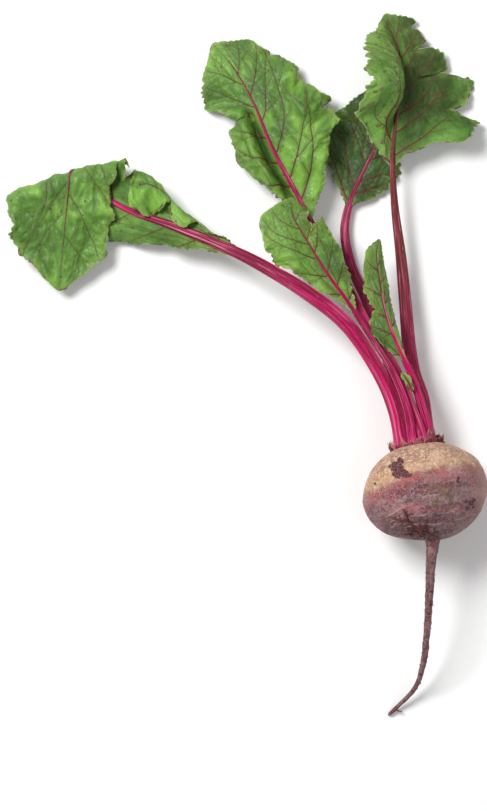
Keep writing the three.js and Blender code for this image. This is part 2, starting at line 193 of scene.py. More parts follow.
class Wire:
    # a shader value; sums of wires add their nodes
    def __init__(self, tree, socket=None):
        self.tree = tree
        self.socket = socket

    def node(self, kind, settings=None, inputs=None, output=0):
        made = self.tree.nodes.new(kind)
        for key, value in (settings or {}).items():
            setattr(made, key, value)
        for key, value in (inputs or {}).items():
            if isinstance(value, Wire):
                self.tree.links.new(value.socket, made.inputs[key])
            else:
                made.inputs[key].default_value = value
        return Wire(self.tree, made.outputs[output])

    def maths(self, operation, first, second=0.0):
        return self.node("ShaderNodeMath", {"operation": operation}, {0: first, 1: second})

    def __add__(self, other):
        return self.maths("ADD", self, other)

    def __sub__(self, other):
        return self.maths("SUBTRACT", self, other)

    def __rsub__(self, other):
        return self.maths("SUBTRACT", other, self)

    def __mul__(self, other):
        return self.maths("MULTIPLY", self, other)

    __radd__ = __add__

    def most(self, other):
        return self.maths("MAXIMUM", self, other)

    def least(self, other):
        return self.maths("MINIMUM", self, other)

    def size(self):
        return self.maths("ABSOLUTE", self)

    def rise(self, low, high):
        # 0 at low and 1 at high, softly; low may be the larger
        inputs = {"Value": self, "From Min": low, "From Max": high}
        return self.node("ShaderNodeMapRange", {"interpolation_type": "SMOOTHSTEP"}, inputs, "Result")

    def value(self, name, output="Fac"):
        return self.node("ShaderNodeAttribute", {"attribute_name": name}, None, output)

    def vector(self, name):
        return self.value(name, "Vector")

    def place(self):
        # object coordinates in millimetres
        return self.node("ShaderNodeTexCoord", None, None, "Object").by(1 / mm, 1 / mm, 1 / mm)

    def vectorMaths(self, operation, other, output="Vector"):
        return self.node("ShaderNodeVectorMath", {"operation": operation}, {0: self, 1: other}, output)

    def by(self, x, y, z):
        return self.vectorMaths("MULTIPLY", (x, y, z))

    def shifted(self, other):
        return self.vectorMaths("ADD", other)

    def along(self, direction):
        return self.vectorMaths("DOT_PRODUCT", direction, "Value")

    def away(self, point):
        return self.vectorMaths("DISTANCE", point, "Value")

    def noise(self, pitch, detail=3.0, roughness=0.5, output="Fac"):
        # a soft pattern about one pitch across
        inputs = {"Vector": self, "Scale": 1 / pitch, "Detail": detail, "Roughness": roughness}
        return self.node("ShaderNodeTexNoise", None, inputs, output)

    def stir(self, pitch, reach):
        # this place, moved about by a coloured noise
        drift = self.noise(pitch, output="Color").shifted((-0.5, -0.5, -0.5))
        return self.shifted(drift.by(reach, reach, reach))

    def cells(self, pitch, feature="DISTANCE_TO_EDGE", dimensions="3D"):
        settings = {"feature": feature, "voronoi_dimensions": dimensions}
        inputs = {"Vector": self, "Scale": 1 / pitch}
        return self.node("ShaderNodeTexVoronoi", settings, inputs, "Distance") * pitch

    def mix(self, first, second):
        # colours, this wire being the share of the second
        return self.node("ShaderNodeMix", {"data_type": "RGBA"}, {0: self, 6: first, 7: second}, 2)

    def bump(self, distance, strength):
        inputs = {"Height": self, "Distance": distance * mm, "Strength": strength}
        return self.node("ShaderNodeBump", None, inputs, "Normal")


def layered(colour, colours, *layers):
    # lays named colours over a colour; each layer holds its cover and its name
    for cover, name in layers:
        colour = cover.mix(colour, colours[name])
    return colour


def newMaterial(name, paint, colours, shine):
    # paint gives the sockets that change over the surface
    material = bpy.data.materials.new(name)
    material.use_nodes = True
    tree = material.node_tree
    shader = tree.nodes["Principled BSDF"]
    shader.inputs["Specular IOR Level"].default_value = shine
    for key, value in paint(Wire(tree), colours).items():
        tree.links.new(value.socket, shader.inputs[key])
    return material


# the camera looks straight down, and the floor and the light are plain and soft
view = {
    "middle": (-108.3, 51.3),
    "height": 2600,
    "focus": 30,  # the height above the floor at which the shown height holds
    "reach": 20000,
    "aim": 30,  # how far past the middle the lights point
    "shownHeight": 486.6,
    "sensor": 24,
    "floor": (0.9, 0.9, 0.895, 1),
    "floorSize": 6000,
    "floorRough": 0.9,
    "floorShine": 0.1,
    "air": (1.0, 1.0, 1.0, 1),
    "airStrength": 0.36,
    "lights": [
        # name, place, size, power
        ("keyLight", (-900, 800, 1500), 700, 36),
        ("fillLight", (900, -300, 1700), 1400, 7),
    ],
}


def makeStage():
    deselectAll()
    x, y = view["middle"]
    bpy.ops.object.camera_add(location=(x * mm, y * mm, view["height"] * mm))
    eye = bpy.context.object
    eye.name = "eye"
    eye.data.sensor_fit = "VERTICAL"
    eye.data.sensor_height = view["sensor"]
    eye.data.lens = view["sensor"] * (view["height"] - view["focus"]) / view["shownHeight"]
    eye.data.clip_end = view["reach"] * mm
    bpy.context.scene.camera = eye
    bpy.context.scene.view_settings.view_transform = "Standard"
    for name, place, size, power in view["lights"]:
        bpy.ops.object.light_add(type="AREA", location=[p * mm for p in place])
        light = bpy.context.object
        light.name = name
        light.data.size = size * mm
        light.data.energy = power
        target = Vector((x * mm, (y + view["aim"]) * mm, 0))
        light.rotation_euler = (target - light.location).to_track_quat("-Z", "Y").to_euler()
    world = bpy.data.worlds.new("air")
    bpy.context.scene.world = world
    world.use_nodes = True
    glow = world.node_tree.nodes["Background"]
    glow.inputs["Color"].default_value = view["air"]
    glow.inputs["Strength"].default_value = view["airStrength"]
    deselectAll()
    bpy.ops.mesh.primitive_plane_add(size=view["floorSize"] * mm, location=(0, 0, 0))
    floor = bpy.context.object
    floor.name = "floor"
    material = bpy.data.materials.new("paleFloor")
    material.use_nodes = True
    shader = material.node_tree.nodes["Principled BSDF"]
    shader.inputs["Base Color"].default_value = view["floor"]
    shader.inputs["Roughness"].default_value = view["floorRough"]
    shader.inputs["Specular IOR Level"].default_value = view["floorShine"]
    floor.data.materials.append(material)
    print("camera, lights and floor made")


makeStage()

root = {
    "radius": 37.5,
    "top": 29.0,
    "bottom": 30.0,
    "lean": 9.0,
    "dip": 12.0,
    "restDepth": 0.8,
    "crownRadius": 16.2,
    "tailReach": 108.0,
    "tailRadius": 2.9,
    "tailTip": 1.15,
    "flare": 2.0,
    "flareLength": 7.0,
    # sideways and along as shares of the taproot's reach, height as a share of its start's
    "tailRoute": [
        (-0.01, -0.12, 1.03), (-0.018, -0.31, 0.98), (-0.029, -0.53, 0.76),
        (-0.044, -0.7, 0.48), (-0.087, -0.84, 0.215), (-0.234, -1.0, 0.033),
    ],
    # hills on the body, its skin, the taproot and the crown: height, pitch, count
    "bodyHills": [(0.55, 34, 9), (0.22, 13, 9)],
    "skinHills": [(0.06, 4.5, 12), (0.03, 2.2, 16)],
    "tailHills": [(0.16, 5.0, 12)],
    "knob": 0.34,
    "ring": 0.05,
    "scales": [(0.5, 4.0, 12)],
    "around": 264,
    "steps": (14, 66, 84, 150),  # on the crown, to the widest circle, to the taproot, to its tip
    "meet": 1.35,  # the angle below the widest circle where the taproot's rows start
    "merge": 5,  # how sharply the ball turns into the taproot; higher is sharper
    "tailRise": (10, 24),  # below the widest circle, where the taproot begins and is full
    "crownDip": 0.9,
    "floorBlend": 0.35,
    "seed": 11,
}
lean = math.radians(root["lean"])
dip = math.radians(root["dip"])
rootAxis = np.array([-math.sin(lean) * math.cos(dip), math.cos(lean) * math.cos(dip), -math.sin(dip)])
crownRight = unit(np.cross(rootAxis, upward))
crownUp = np.cross(crownRight, rootAxis)
rootCentre = np.array([0, 0, root["radius"] - root["restDepth"]])
crownLevel = root["top"] * math.sqrt(1 - (root["crownRadius"] / root["radius"]) ** 2)
crownCentre = rootCentre + rootAxis * crownLevel


def rootProfile():
    # radius and level below the crown, from the middle of the crown to the tip of the taproot
    topSteps, upperSteps, lowerSteps, tailSteps = root["steps"]
    radius = root["radius"]
    bottom = root["bottom"]
    inner = np.linspace(0, 1, topSteps, endpoint=False)
    upper = np.linspace(math.acos(crownLevel / root["top"]), math.pi / 2, upperSteps, endpoint=False)
    lower = np.linspace(0, root["meet"], lowerSteps, endpoint=False)
    tailFrom = bottom * math.sin(root["meet"])
    tailRun = np.linspace(0, 1, tailSteps + 1) ** 1.1 * (tailLength - tailFrom)
    below = np.concatenate([bottom * np.sin(lower), tailFrom + tailRun])
    ball = radius * np.sqrt(np.clip(1 - (below / bottom) ** 2, 0, 1))
    past = np.maximum(below - bottom * 0.97, 0)
    tail = root["tailRadius"] + (root["tailTip"] - root["tailRadius"]) * past / (tailLength - bottom)
    tail = tail + root["flare"] * np.exp(-past / root["flareLength"])
    tail = tail * np.sqrt(np.clip((1 - below / tailLength) / 0.012, 0, 1))
    power = root["merge"]
    joined = (ball ** power + (tail * rise(below, *root["tailRise"])) ** power) ** (1 / power)
    radii = [inner * root["crownRadius"], radius * np.sin(upper), joined]
    dish = root["crownDip"] * (inner ** 2 - 1)
    levels = [dish, crownLevel - root["top"] * np.cos(upper), crownLevel + below]
    return np.concatenate(radii), np.concatenate(levels)


tailStart = rootCentre - rootAxis * root["bottom"]
tailPoints = [
    tailStart + np.array([x * root["tailReach"], y * root["tailReach"], (z - 1) * tailStart[2]])
    for x, y, z in root["tailRoute"]
]
rootLine = Line([crownCentre, rootCentre, tailStart] + tailPoints)
tailLength = rootLine.length - crownLevel


def rootSurface(angle, share):
    rng = np.random.default_rng(root["seed"])
    radii, levels = rootProfile()
    row = np.rint(share * (len(radii) - 1)).astype(int)
    radius = radii[row]
    level = levels[row]
    point, forward, right, up = rootLine.at(level / rootLine.length)
    outward = right * np.cos(angle)[..., None] + up * np.sin(angle)[..., None]
    places = point + outward * radius[..., None]
    body = rise(radius, 5, 24)
    tail = rise(level, crownLevel + root["bottom"], crownLevel + root["bottom"] + 6)
    shape = hills(places, rng, root["bodyHills"])
    grain = hills(places, rng, root["skinHills"])
    rings = root["ring"] * np.sin(level * 2.3 + 1.2 * lumps(places, 20, rng)) * body
    knobs = hills(places, rng, root["tailHills"])
    knobs = knobs + root["knob"] * np.maximum(lumps(places, 2.6, rng, 12) - 0.7, 0)
    crown = hills(places, rng, root["scales"]) * rise(-level, 0.2, 0.9)
    swell = (1 - tail) * (body * shape + grain + rings) + tail * knobs
    places = places + outward * (swell * rise(radius, 0.3, 2.0))[..., None]
    places = places - rootAxis * (crown * (level < 0))[..., None]
    above = places[..., 2]
    places[..., 2] = 0.5 * (above + np.hypot(above, 2 * root["floorBlend"]))
    # the floor is met exactly at the lowest point
    places[..., 2] -= places[..., 2].min() * np.exp(-np.maximum(above, 0) / 2.0)
    around = np.stack([np.cos(angle) * radius, np.sin(angle) * radius, level], -1)
    return places, {"level": level, "tail": tail, "skin": around}


def paintSkin(wire, s):
    place = wire.place()
    level = wire.value("level")
    tail = wire.value("tail")
    skin = wire.vector("skin")
    grain = skin.noise(2.0, 6, 0.85)
    speck = skin.noise(0.8, 3, 0.8)
    mottle = skin.noise(7, 4, 0.6)
    patch = skin.stir(9, 6).noise(16, 3, 0.5)
    bands = skin.by(0.12, 0.12, 1).noise(3.2, 3, 0.6)
    deepBands = skin.stir(8, 6).by(0.1, 0.1, 1).noise(5.5, 4, 0.6)
    roseBands = skin.stir(6, 4).by(0.14, 0.14, 1).noise(2.8, 4, 0.65)
    wide = skin.stir(12, 9).by(0.3, 0.3, 1).noise(11, 3, 0.55)
    side = place.along((1, 0, 0))
    ragged = side + mottle * 8
    upper = place.along((0, 0, 1)).rise(38, 46)

    # tan shoulders above a ragged border, mauve below, a red band between
    border = level + patch * 10 + (mottle - 0.5) * 9 + bands * 4 + side * 0.08 - s["border"]
    low = (border + (grain - 0.5) * 14 + (speck - 0.5) * 8).rise(-2.5, 3.5)
    gold = border.rise(-10, -3) * border.rise(1, -2) * mottle.rise(0.35, 0.6)
    blush = border.rise(-0.8, 2.5) * border.rise(13, 4) * mottle.rise(0.35, 0.62)
    tan = layered(
        s["tan"], s,
        (mottle.rise(0.35, 0.75), "tanDark"),
        (grain.rise(0.51, 0.6), "tanPale"),
        (grain.rise(0.48, 0.4), "tanDark"),
        (speck.rise(0.55, 0.62) * 0.8, "tanRed"),
        (patch.rise(0.52, 0.66) * 0.3, "tanPale"),
        (gold * 0.4, "gold"),
    )
    mauve = layered(
        s["mauve"], s,
        (patch.rise(0.42, 0.6), "grey"),
        (deepBands.rise(0.48, 0.6) * 0.85, "purple"),
        (roseBands.rise(0.5, 0.6) * 0.8, "rose"),
        (bands.rise(0.56, 0.7) * 0.5, "mauvePale"),
        (wide.rise(0.5, 0.38) * 0.7, "purple"),
        (wide.rise(0.53, 0.63) * 0.55, "mauvePale"),
        (level.rise(48, 64) * 0.35, "purple"),
        (ragged.rise(16, 34) * 0.35, "mauvePale"),
        (grain.rise(0.53, 0.59) * 0.85, "mauvePale"),
        (grain.rise(0.46, 0.40) * 0.85, "purple"),
        (speck.rise(0.56, 0.63) * 0.8, "purple"),
        (speck.rise(0.44, 0.38) * 0.5, "rose"),
    )

    # marks: a dark patch, scars, a green stain, pale scratches and rings, a fine net
    brown = place.stir(9, 7).by(1, 1, 0).away(s["shade"]).rise(13, 5) * upper * mottle.rise(0.42, 0.6)
    flank = ragged.rise(31, 40) * place.along((0, 1, 0)).rise(-24, 0)
    torn = place.stir(2.2, 2.6).by(1, 1, 0)
    scar = reduce(Wire.most, [torn.away((x, y, 0)).rise(r, r * 0.75) for x, y, r in s["scars"]])
    scar = scar * upper * place.noise(1.5, 3, 0.6).rise(0.3, 0.4)
    stain = place.stir(6, 9).by(1, 1, 0).away(s["stain"]).rise(12, 4) * upper * mottle.rise(0.4, 0.6)
    marks = []
    drifting = place.stir(5, 1.6)
    for x, y, z, tilt, half, width in s["scratches"]:
        local = drifting.shifted((-x, -y, -z))
        lengthwise = local.along((math.cos(tilt), math.sin(tilt), 0)).size()
        aside = local.along((-math.sin(tilt), math.cos(tilt), 0)).size()
        deep = local.along((0, 0, 1)).size().rise(12, 9)
        marks.append(lengthwise.rise(half, half * 0.6) * aside.rise(width, width * 0.3) * deep)
    scratch = reduce(Wire.most, marks)
    curved = place.stir(2.5, 0.8).by(1, 1, 0)
    rings = [(curved.away((x, y, 0)) - size).size().rise(0.5, 0.15) for x, y, size in s["rings"]]
    ringed = upper * grain.rise(0.35, 0.6) * 0.55
    net = skin.stir(4, 2.2).cells(1.7).rise(0.22, 0.05)
    body = layered(
        low.mix(tan, mauve), s,
        (blush * grain.rise(0.3, 0.6) * 0.9, "red"),
        (brown * 0.5, "purple"),
        (flank * 0.7, "flank"),
        (scar, "scarColour"),
        (stain * 0.75, "green"),
        (scratch * grain.rise(0.3, 0.5) * 0.7, "scratch"),
        *[(ring * ringed, "scratch") for ring in rings],
        (net * 0.22, "scratch"),
    )

    # the taproot is mauve-grey with dark red knots, the crown a brown scaly disc
    knot = skin.by(1, 1, 1.4).noise(2.4, 2, 0.5).rise(0.58, 0.64)
    taproot = layered(
        s["tail"], s,
        (skin.by(1, 1, 0.5).noise(3, 4, 0.6).rise(0.35, 0.65), "tailDark"),
        (grain.rise(0.5, 0.66), "tailPale"),
        (knot * 0.9, "knot"),
    )
    crown = skin.noise(2.5, 4, 0.7).rise(0.4, 0.6).mix(s["crown"], s["crownRed"])
    height = grain * 0.5 + speck * 0.25 + mottle * 0.6
    height = height - scar * 0.9 - net * 0.3 + scratch * 0.4 - knot * tail * 0.5
    return {
        "Base Color": level.rise(0.9, -0.1).mix(tail.mix(body, taproot), crown),
        "Roughness": 0.52 + grain * 0.25 + scar * 0.1 - low * 0.06,
        "Normal": height.bump(0.55, 0.9),
    }


skinColours = {
    "border": 27.8,  # the level where the tan ends
    "tan": (0.50, 0.31, 0.19, 1),
    "tanDark": (0.25, 0.12, 0.07, 1),
    "tanPale": (0.80, 0.60, 0.45, 1),
    "tanRed": (0.33, 0.15, 0.12, 1),
    "gold": (0.66, 0.40, 0.18, 1),
    "flank": (0.46, 0.27, 0.22, 1),
    "mauve": (0.19, 0.088, 0.096, 1),
    "mauvePale": (0.44, 0.27, 0.265, 1),
    "rose": (0.42, 0.055, 0.10, 1),
    "purple": (0.062, 0.017, 0.026, 1),
    "grey": (0.21, 0.15, 0.155, 1),
    "red": (0.36, 0.085, 0.075, 1),
    "green": (0.13, 0.10, 0.045, 1),
    "scratch": (0.52, 0.38, 0.35, 1),
    "scarColour": (0.085, 0.022, 0.028, 1),
    "scars": [
        # x, y, radius
        (-17.4, 14.6, 4.5), (-15.4, 18.4, 2.4), (-17.6, 11.0, 3.2), (-12.8, 10.8, 2.9), (-14.6, 12.6, 2.4),
        (-9.6, 10.2, 1.4), (-21.2, 15.2, 1.4), (26.8, -6.6, 1.9), (24.6, -9.4, 1.7), (28.8, -5.0, 1.4),
        (23.6, -5.6, 1.2), (28.2, -9.4, 1.1), (18.6, 8.4, 1.2), (18.2, 6.4, 1.0), (-30, 5, 1.0),
    ],
    "rings": [(17.4, -11.2, 1.6), (29, -1.5, 1.2), (20.5, 13.0, 1.3)],
    "stain": (7, -1, 0),
    "shade": (11, -5, 0),
    "scratches": [
        # x, y, z, tilt, half length, half width
        (-19, -12, 66, 0.5, 7.5, 0.5), (-17, -15.5, 65, 0.55, 6, 0.4), (-6, -14, 69, 0.08, 6.5, 0.45),
        (3, -19, 67, 0.05, 7, 0.45), (13, -12, 69, 0.2, 5, 0.4), (-9, -20, 65, 0.3, 5, 0.4),
        (16, 16, 66, 0.25, 6, 0.4), (-20, -21, 61, 0.8, 5, 0.35), (17, -3, 67, 1.45, 4, 0.35),
        (20, -16, 62, 0.3, 4, 0.4),
    ],
    "tail": (0.23, 0.13, 0.13, 1),
    "tailDark": (0.13, 0.06, 0.062, 1),
    "tailPale": (0.40, 0.26, 0.235, 1),
    "knot": (0.10, 0.014, 0.022, 1),
    "crown": (0.16, 0.075, 0.035, 1),
    "crownRed": (0.10, 0.02, 0.025, 1),
}
skinMaterial = newMaterial("rootSkin", paintSkin, skinColours, 0.15)
rootPiece = newTube("rootBody", root["around"], sum(root["steps"]), rootSurface)
finish(rootPiece, ["root"], "skin", skinMaterial)
rootTree = BVHTree.FromObject(rootPiece, bpy.context.evaluated_depsgraph_get())
print("root made:", len(rootPiece.data.polygons), "faces")

# each leaf's seat is in crown radii, right and up; its route in shares of the leaves' reach, with the
# height as a share of the crown's; stalk widths run from the crown; each half has widths, degrees of lift
# and curl, and notches with place, depth and spread, all along the blade
reach = 261.0
gap = 0.35
# each leaf's tone along its blade is partly its own lighter or darker green and partly painted light and
# shade; the tone added to each half and the round patches are painted highlight and painted shade
leaves = [
    {
        "name": "left_leaf", "seat": (-0.55, 0.09),
        "route": [
            (-0.05, 0.082, 1.04), (-0.08, 0.16, 1.08), (-0.158, 0.279, 1.2), (-0.24, 0.348, 1.23),
            (-0.385, 0.436, 1.08), (-0.557, 0.512, 0.68), (-0.686, 0.562, 0.38), (-0.778, 0.631, 0.27),
            (-1.023, 0.82, 0.25),
        ],
        "stalk": [8.4, 8.6, 8.8, 8.2, 6.4, 4.8, 3],
        "stalkEnd": 0.71, "bladeFrom": 0.452, "faceUp": -1,
        "right": {
            "widths": [2, 10, 27, 50, 36, 26, 27, 25, 8],
            "lift": [0, 10, 12, 14, 10, 5, 0, 0, 0],
            "curl": [0, 20, 20, 24, 20, 10, 0, -10, -10],
            "roll": [0, 90, 158, 162, 50, 0, 0, 0, 0],
            "rollShares": (0.4, 0.68),
            "notches": [(0.17, 0.3, 0.012), (0.27, 0.35, 0.016), (0.46, 0.62, 0.035)],
        },
        "left": {
            "widths": [2, 7, 14, 20, 31, 35, 36, 28, 7],
            "lift": [0, -12, -20, -18, -12, -4, 0, 0, 0],
            "curl": [0, -20, -40, -40, -20, 0, 0, -10, -10],
            "notches": [(0.5, 0.12, 0.02)],
        },
        "fold": {"at": 0.768, "turn": -29, "radius": 4.5, "angle": 187, "knob": 1.3},
        "grid": (176, 236), "laterals": 7,
        "tone": [0.75, 0.75, 0.7, 0.75, 0.75, 0.75, 0.7, 0.7, 0.75],
        "paintedSideLight": (-0.05, 0.08),
        "paintedLightPatches": [(0.36, 12, 9, -0.5), (0.5, 14, 9, -0.3), (0.3, 34, 12, 0.35), (0.1, 7, 10, 0.3)],
        "spine": (0.75, -0.35), "blemish": (0.5, 0.4),
        "stalkTone": [0.38, 0.3, 0.22, 0.15, 0.1, 0.1, 0.15, 0.95, 0.95, 0.95],
        "veins": 0.72, "seed": 21,
    },
    {
        "name": "front_leaf", "seat": (-0.14, 0.36),
        "route": [
            (-0.024, 0.089, 1.29), (-0.058, 0.177, 1.25), (-0.103, 0.25, 1.08), (-0.158, 0.335, 1.0),
            (-0.212, 0.409, 1.07), (-0.258, 0.485, 1.1), (-0.286, 0.535, 1.06), (-0.291, 0.577, 0.9),
        ],
        "stalk": [5.6, 4.8, 4.2, 3.6, 3, 2.4, 1.6],
        "stalkEnd": 0.93, "bladeFrom": 0.53, "faceUp": 1,
        "right": {
            "widths": [1.5, 7, 12, 16, 16, 8, 9, 10, 4],
            "lift": [0, 0, -4, -8, -8, -6, -6, -6, -6],
            "curl": [0, -10, -20, -30, -30, -30, -30, -30, -30],
            "sweep": [0, 2, 6, 11, 18, 5, 0, 0, 0],
            "notches": [(0.6, 0.62, 0.04), (0.78, 0.3, 0.03)],
        },
        "left": {
            "widths": [1.5, 4, 8, 13, 18, 23, 25, 20, 5],
            "lift": [0, 4, 8, 8, 6, 4, 0, -4, -6],
            "curl": [0, -10, -25, -40, -45, -45, -40, -40, -40],
        },
        "grid": (120, 190), "laterals": 6,
        "tone": [0.65, 0.65, 0.7, 0.72, 0.78, 0.8, 0.8, 0.78, 0.7],
        "stalkTone": [0.3, 0.25, 0.1, 0.2, 0.45, 0.8, 0.95],
        "paintedSideLight": (0.12, -0.12), "veins": 0.85, "seed": 22,
    },
    {
        "name": "broad_leaf", "seat": (0.26, 0.31),
        "route": [
            (-0.012, 0.094, 1.12), (-0.044, 0.174, 1.0), (-0.107, 0.278, 0.86), (-0.169, 0.397, 0.68),
            (-0.231, 0.501, 0.58), (-0.286, 0.607, 0.55), (-0.334, 0.698, 0.52), (-0.375, 0.797, 0.43),
            (-0.421, 0.88, 0.27), (-0.471, 0.941, 0.1),
        ],
        "stalk": [5.6, 5.6, 4.8, 4, 3.8, 3.4, 2.6, 1.6],
        "stalkEnd": 0.92, "bladeFrom": 0.55, "faceUp": 1,
        "right": {
            "widths": [2, 16, 32, 45, 43, 37, 30, 20, 4],
            "lift": [0, 4, 6, 2, -4, -6, -4, -2, 0],
            "curl": [0, -20, -50, -55, -50, -45, -45, -40, -30],
            "sweep": [0, 0, 2, 6, 2, 0, 0, 0, 0],
            "notches": [(0.3, 0.12, 0.015), (0.47, 0.1, 0.015), (0.62, 0.1, 0.012), (0.8, 0.12, 0.012)],
        },
        "left": {
            "widths": [2, 9, 18, 23, 22, 19, 27, 21, 5],
            "lift": [0, -4, -8, -12, -12, -10, -8, -4, 0],
            "curl": [0, -30, -55, -60, -40, -30, -30, -30, -30],
            "sweep": [0, 2, 6, 8, 4, 0, 0, 0, 0],
            "notches": [(0.575, 0.68, 0.03)],
        },
        # along from and to, across, half width, height
        "pleats": [(0.06, 0.66, -5.0, 2.4, -5.0), (0.08, 0.64, -10.5, 2.8, 4.4)],
        "grid": (180, 230), "laterals": 6, "arch": 0.032,
        "tone": [0.7, 0.75, 0.78, 0.75, 0.7, 0.68, 0.65, 0.68, 0.7],
        "paintedLightPatches": [(0.25, 22, 16, 0.25), (0.3, -14, 8, 0.2), (0.9, -8, 12, 0.2)],
        "stalkTone": [0.25, 0.15, 0.15, 0.25, 0.45, 0.7, 0.9],
        "seed": 23,
    },
    {
        "name": "narrow_leaf", "seat": (0.54, 0.05),
        "route": [
            (0.015, 0.085, 1.08), (-0.012, 0.163, 1.13), (-0.047, 0.239, 1.17), (-0.071, 0.305, 1.18),
            (-0.088, 0.388, 1.14), (-0.094, 0.447, 1.07), (-0.088, 0.482, 1.0),
        ],
        "stalk": [4.6, 4.8, 4, 2.8, 2, 1.4],
        "stalkEnd": 0.92, "bladeFrom": 0.42, "faceUp": 1,
        "right": {
            "widths": [1.5, 3, 5, 7, 7, 7, 6, 4, 2],
            "lift": [0, -30, -50, -60, -60, -50, -40, -30, -20],
            "curl": [0, -10, -20, -20, -20, -20, -20, -20, -20],
        },
        "left": {
            "widths": [1.5, 7, 11, 11, 9, 10, 9, 7, 2],
            "lift": [0, -4, -6, -6, -4, -4, -4, -4, -4],
            "curl": [0, -10, -20, -25, -25, -20, -20, -20, -20],
            "notches": [(0.45, 0.4, 0.03)],
        },
        "grid": (76, 170), "laterals": 5,
        "tone": [0.6, 0.6, 0.6, 0.6, 0.6],
        "stalkTone": [0.3, 0.25, 0.45, 0.8, 0.9],
        "seed": 24,
    },
    {
        "name": "right_leaf", "seat": (0.48, -0.36),
        "route": [
            (0.012, 0.118, 0.74), (-0.006, 0.171, 0.65), (-0.016, 0.227, 0.58), (-0.026, 0.342, 0.5),
            (-0.036, 0.447, 0.48), (-0.051, 0.572, 0.54), (-0.055, 0.687, 0.56), (-0.046, 0.765, 0.5),
            (-0.034, 0.861, 0.37), (-0.044, 0.945, 0.22), (-0.07, 1.01, 0.08),
        ],
        "stalk": [7.2, 8.2, 8.2, 7.6, 6.6, 5, 3.4, 2],
        "stalkEnd": 0.73, "bladeFrom": 0.64, "faceUp": -1,
        "right": {
            "widths": [2, 9, 23, 42, 48, 46, 45, 28, 25, 17, 16, 12, 4],
            "lift": [0, 8, 2, -8, -12, -10, -6, -2, 0],
            "curl": [0, 40, 30, 10, -5, -15, -20, -20, -20],
            "sweep": [0, 0, -1, -3, 0, 4, 8, 5, 5, 3, 2, 0, 0],
            "notches": [(0.4, 0.3, 0.018), (0.54, 0.55, 0.02), (0.7, 0.5, 0.02), (0.84, 0.35, 0.02)],
        },
        "left": {
            "widths": [2, 12, 26, 40, 44, 40, 28, 18, 4],
            "lift": [0, 12, 30, 54, 60, 54, 40, 26, 10],
            "curl": [0, -10, -60, -122, -138, -125, -90, -60, -30],
            "notches": [(0.3, 0.07, 0.015), (0.62, 0.07, 0.015)],
        },
        "grid": (184, 226), "laterals": 7,
        "tone": [0.55, 0.5, 0.4, 0.35, 0.3, 0.35, 0.45, 0.5, 0.5],
        "paintedSideLight": (0.55, -0.3),
        "paintedLightPatches": [(0.2, 30, 16, 0.75), (0.5, 38, 12, 0.5), (0.45, -30, 14, 0.15), (0.5, 8, 10, -0.2)],
        "blemish": (1.5, 0.3),
        "stalkTone": [0.5, 0.55, 0.65, 0.8, 0.9, 0.95, 0.9, 0.9],
        "seed": 25,
    },
    {
        "name": "back_leaf", "seat": (-0.1, -0.3),
        "route": [
            (-0.028, 0.1, 0.7), (-0.058, 0.181, 0.54), (-0.086, 0.262, 0.41), (-0.117, 0.348, 0.3),
            (-0.151, 0.428, 0.23), (-0.165, 0.508, 0.18), (-0.15, 0.579, 0.15), (-0.121, 0.643, 0.13),
            (-0.09, 0.71, 0.11), (-0.077, 0.784, 0.1), (-0.084, 0.853, 0.1),
        ],
        "stalk": [6.4, 6.4, 6.1, 6, 5.2, 3.6, 2.2],
        "stalkEnd": 0.9, "bladeFrom": 0.66, "faceUp": 1,
        "right": {
            "widths": [2, 11, 18, 20, 18, 16, 12, 8, 3],
            "lift": [0, -4, -6, -6, -6, -6, -6, -4, 0],
            "curl": [0, -10, -10, -10, -10, -10, -10, -10, -10],
            "notches": [(0.5, 0.2, 0.02)],
        },
        "left": {
            "widths": [2, 12, 23, 32, 36, 34, 28, 18, 4],
            "lift": [0, -4, -6, -6, -6, -6, -6, -4, 0],
            "curl": [0, 0, 5, 5, 5, 5, 0, 0, 0],
            "notches": [(0.4, 0.15, 0.02), (0.65, 0.15, 0.02)],
        },
        "grid": (120, 160), "laterals": 6,
        # a low tone on the blade and the stalk: painted shade, as this leaf lies in shadow beneath the
        # other leaves
        "tone": [0.1, 0.1, 0.15, 0.15, 0.15, 0.2],
        "stalkTone": [0.1, 0.1, 0.05, 0.05],
        "seed": 26,
    },
    {
        "name": "leaflet",
        "route": [(-0.013, 0.132, 1.255), (-0.023, 0.155, 1.265), (-0.037, 0.175, 1.28)],
        "bladeFrom": 0, "faceUp": 1,
        "right": {"widths": [1, 2.2, 1.8, 2.4, 2, 1], "lift": [20, 10, -10], "curl": [-20, -20, -20]},
        "left": {"widths": [1, 1.8, 2.2, 1.6, 2, 1], "lift": [0, 10, 10], "curl": [-20, -20, -20]},
        "grid": (36, 80), "laterals": 3, "veins": 0.45,
        "tone": [1.3, 1.3],
        "seed": 27,
    },
]
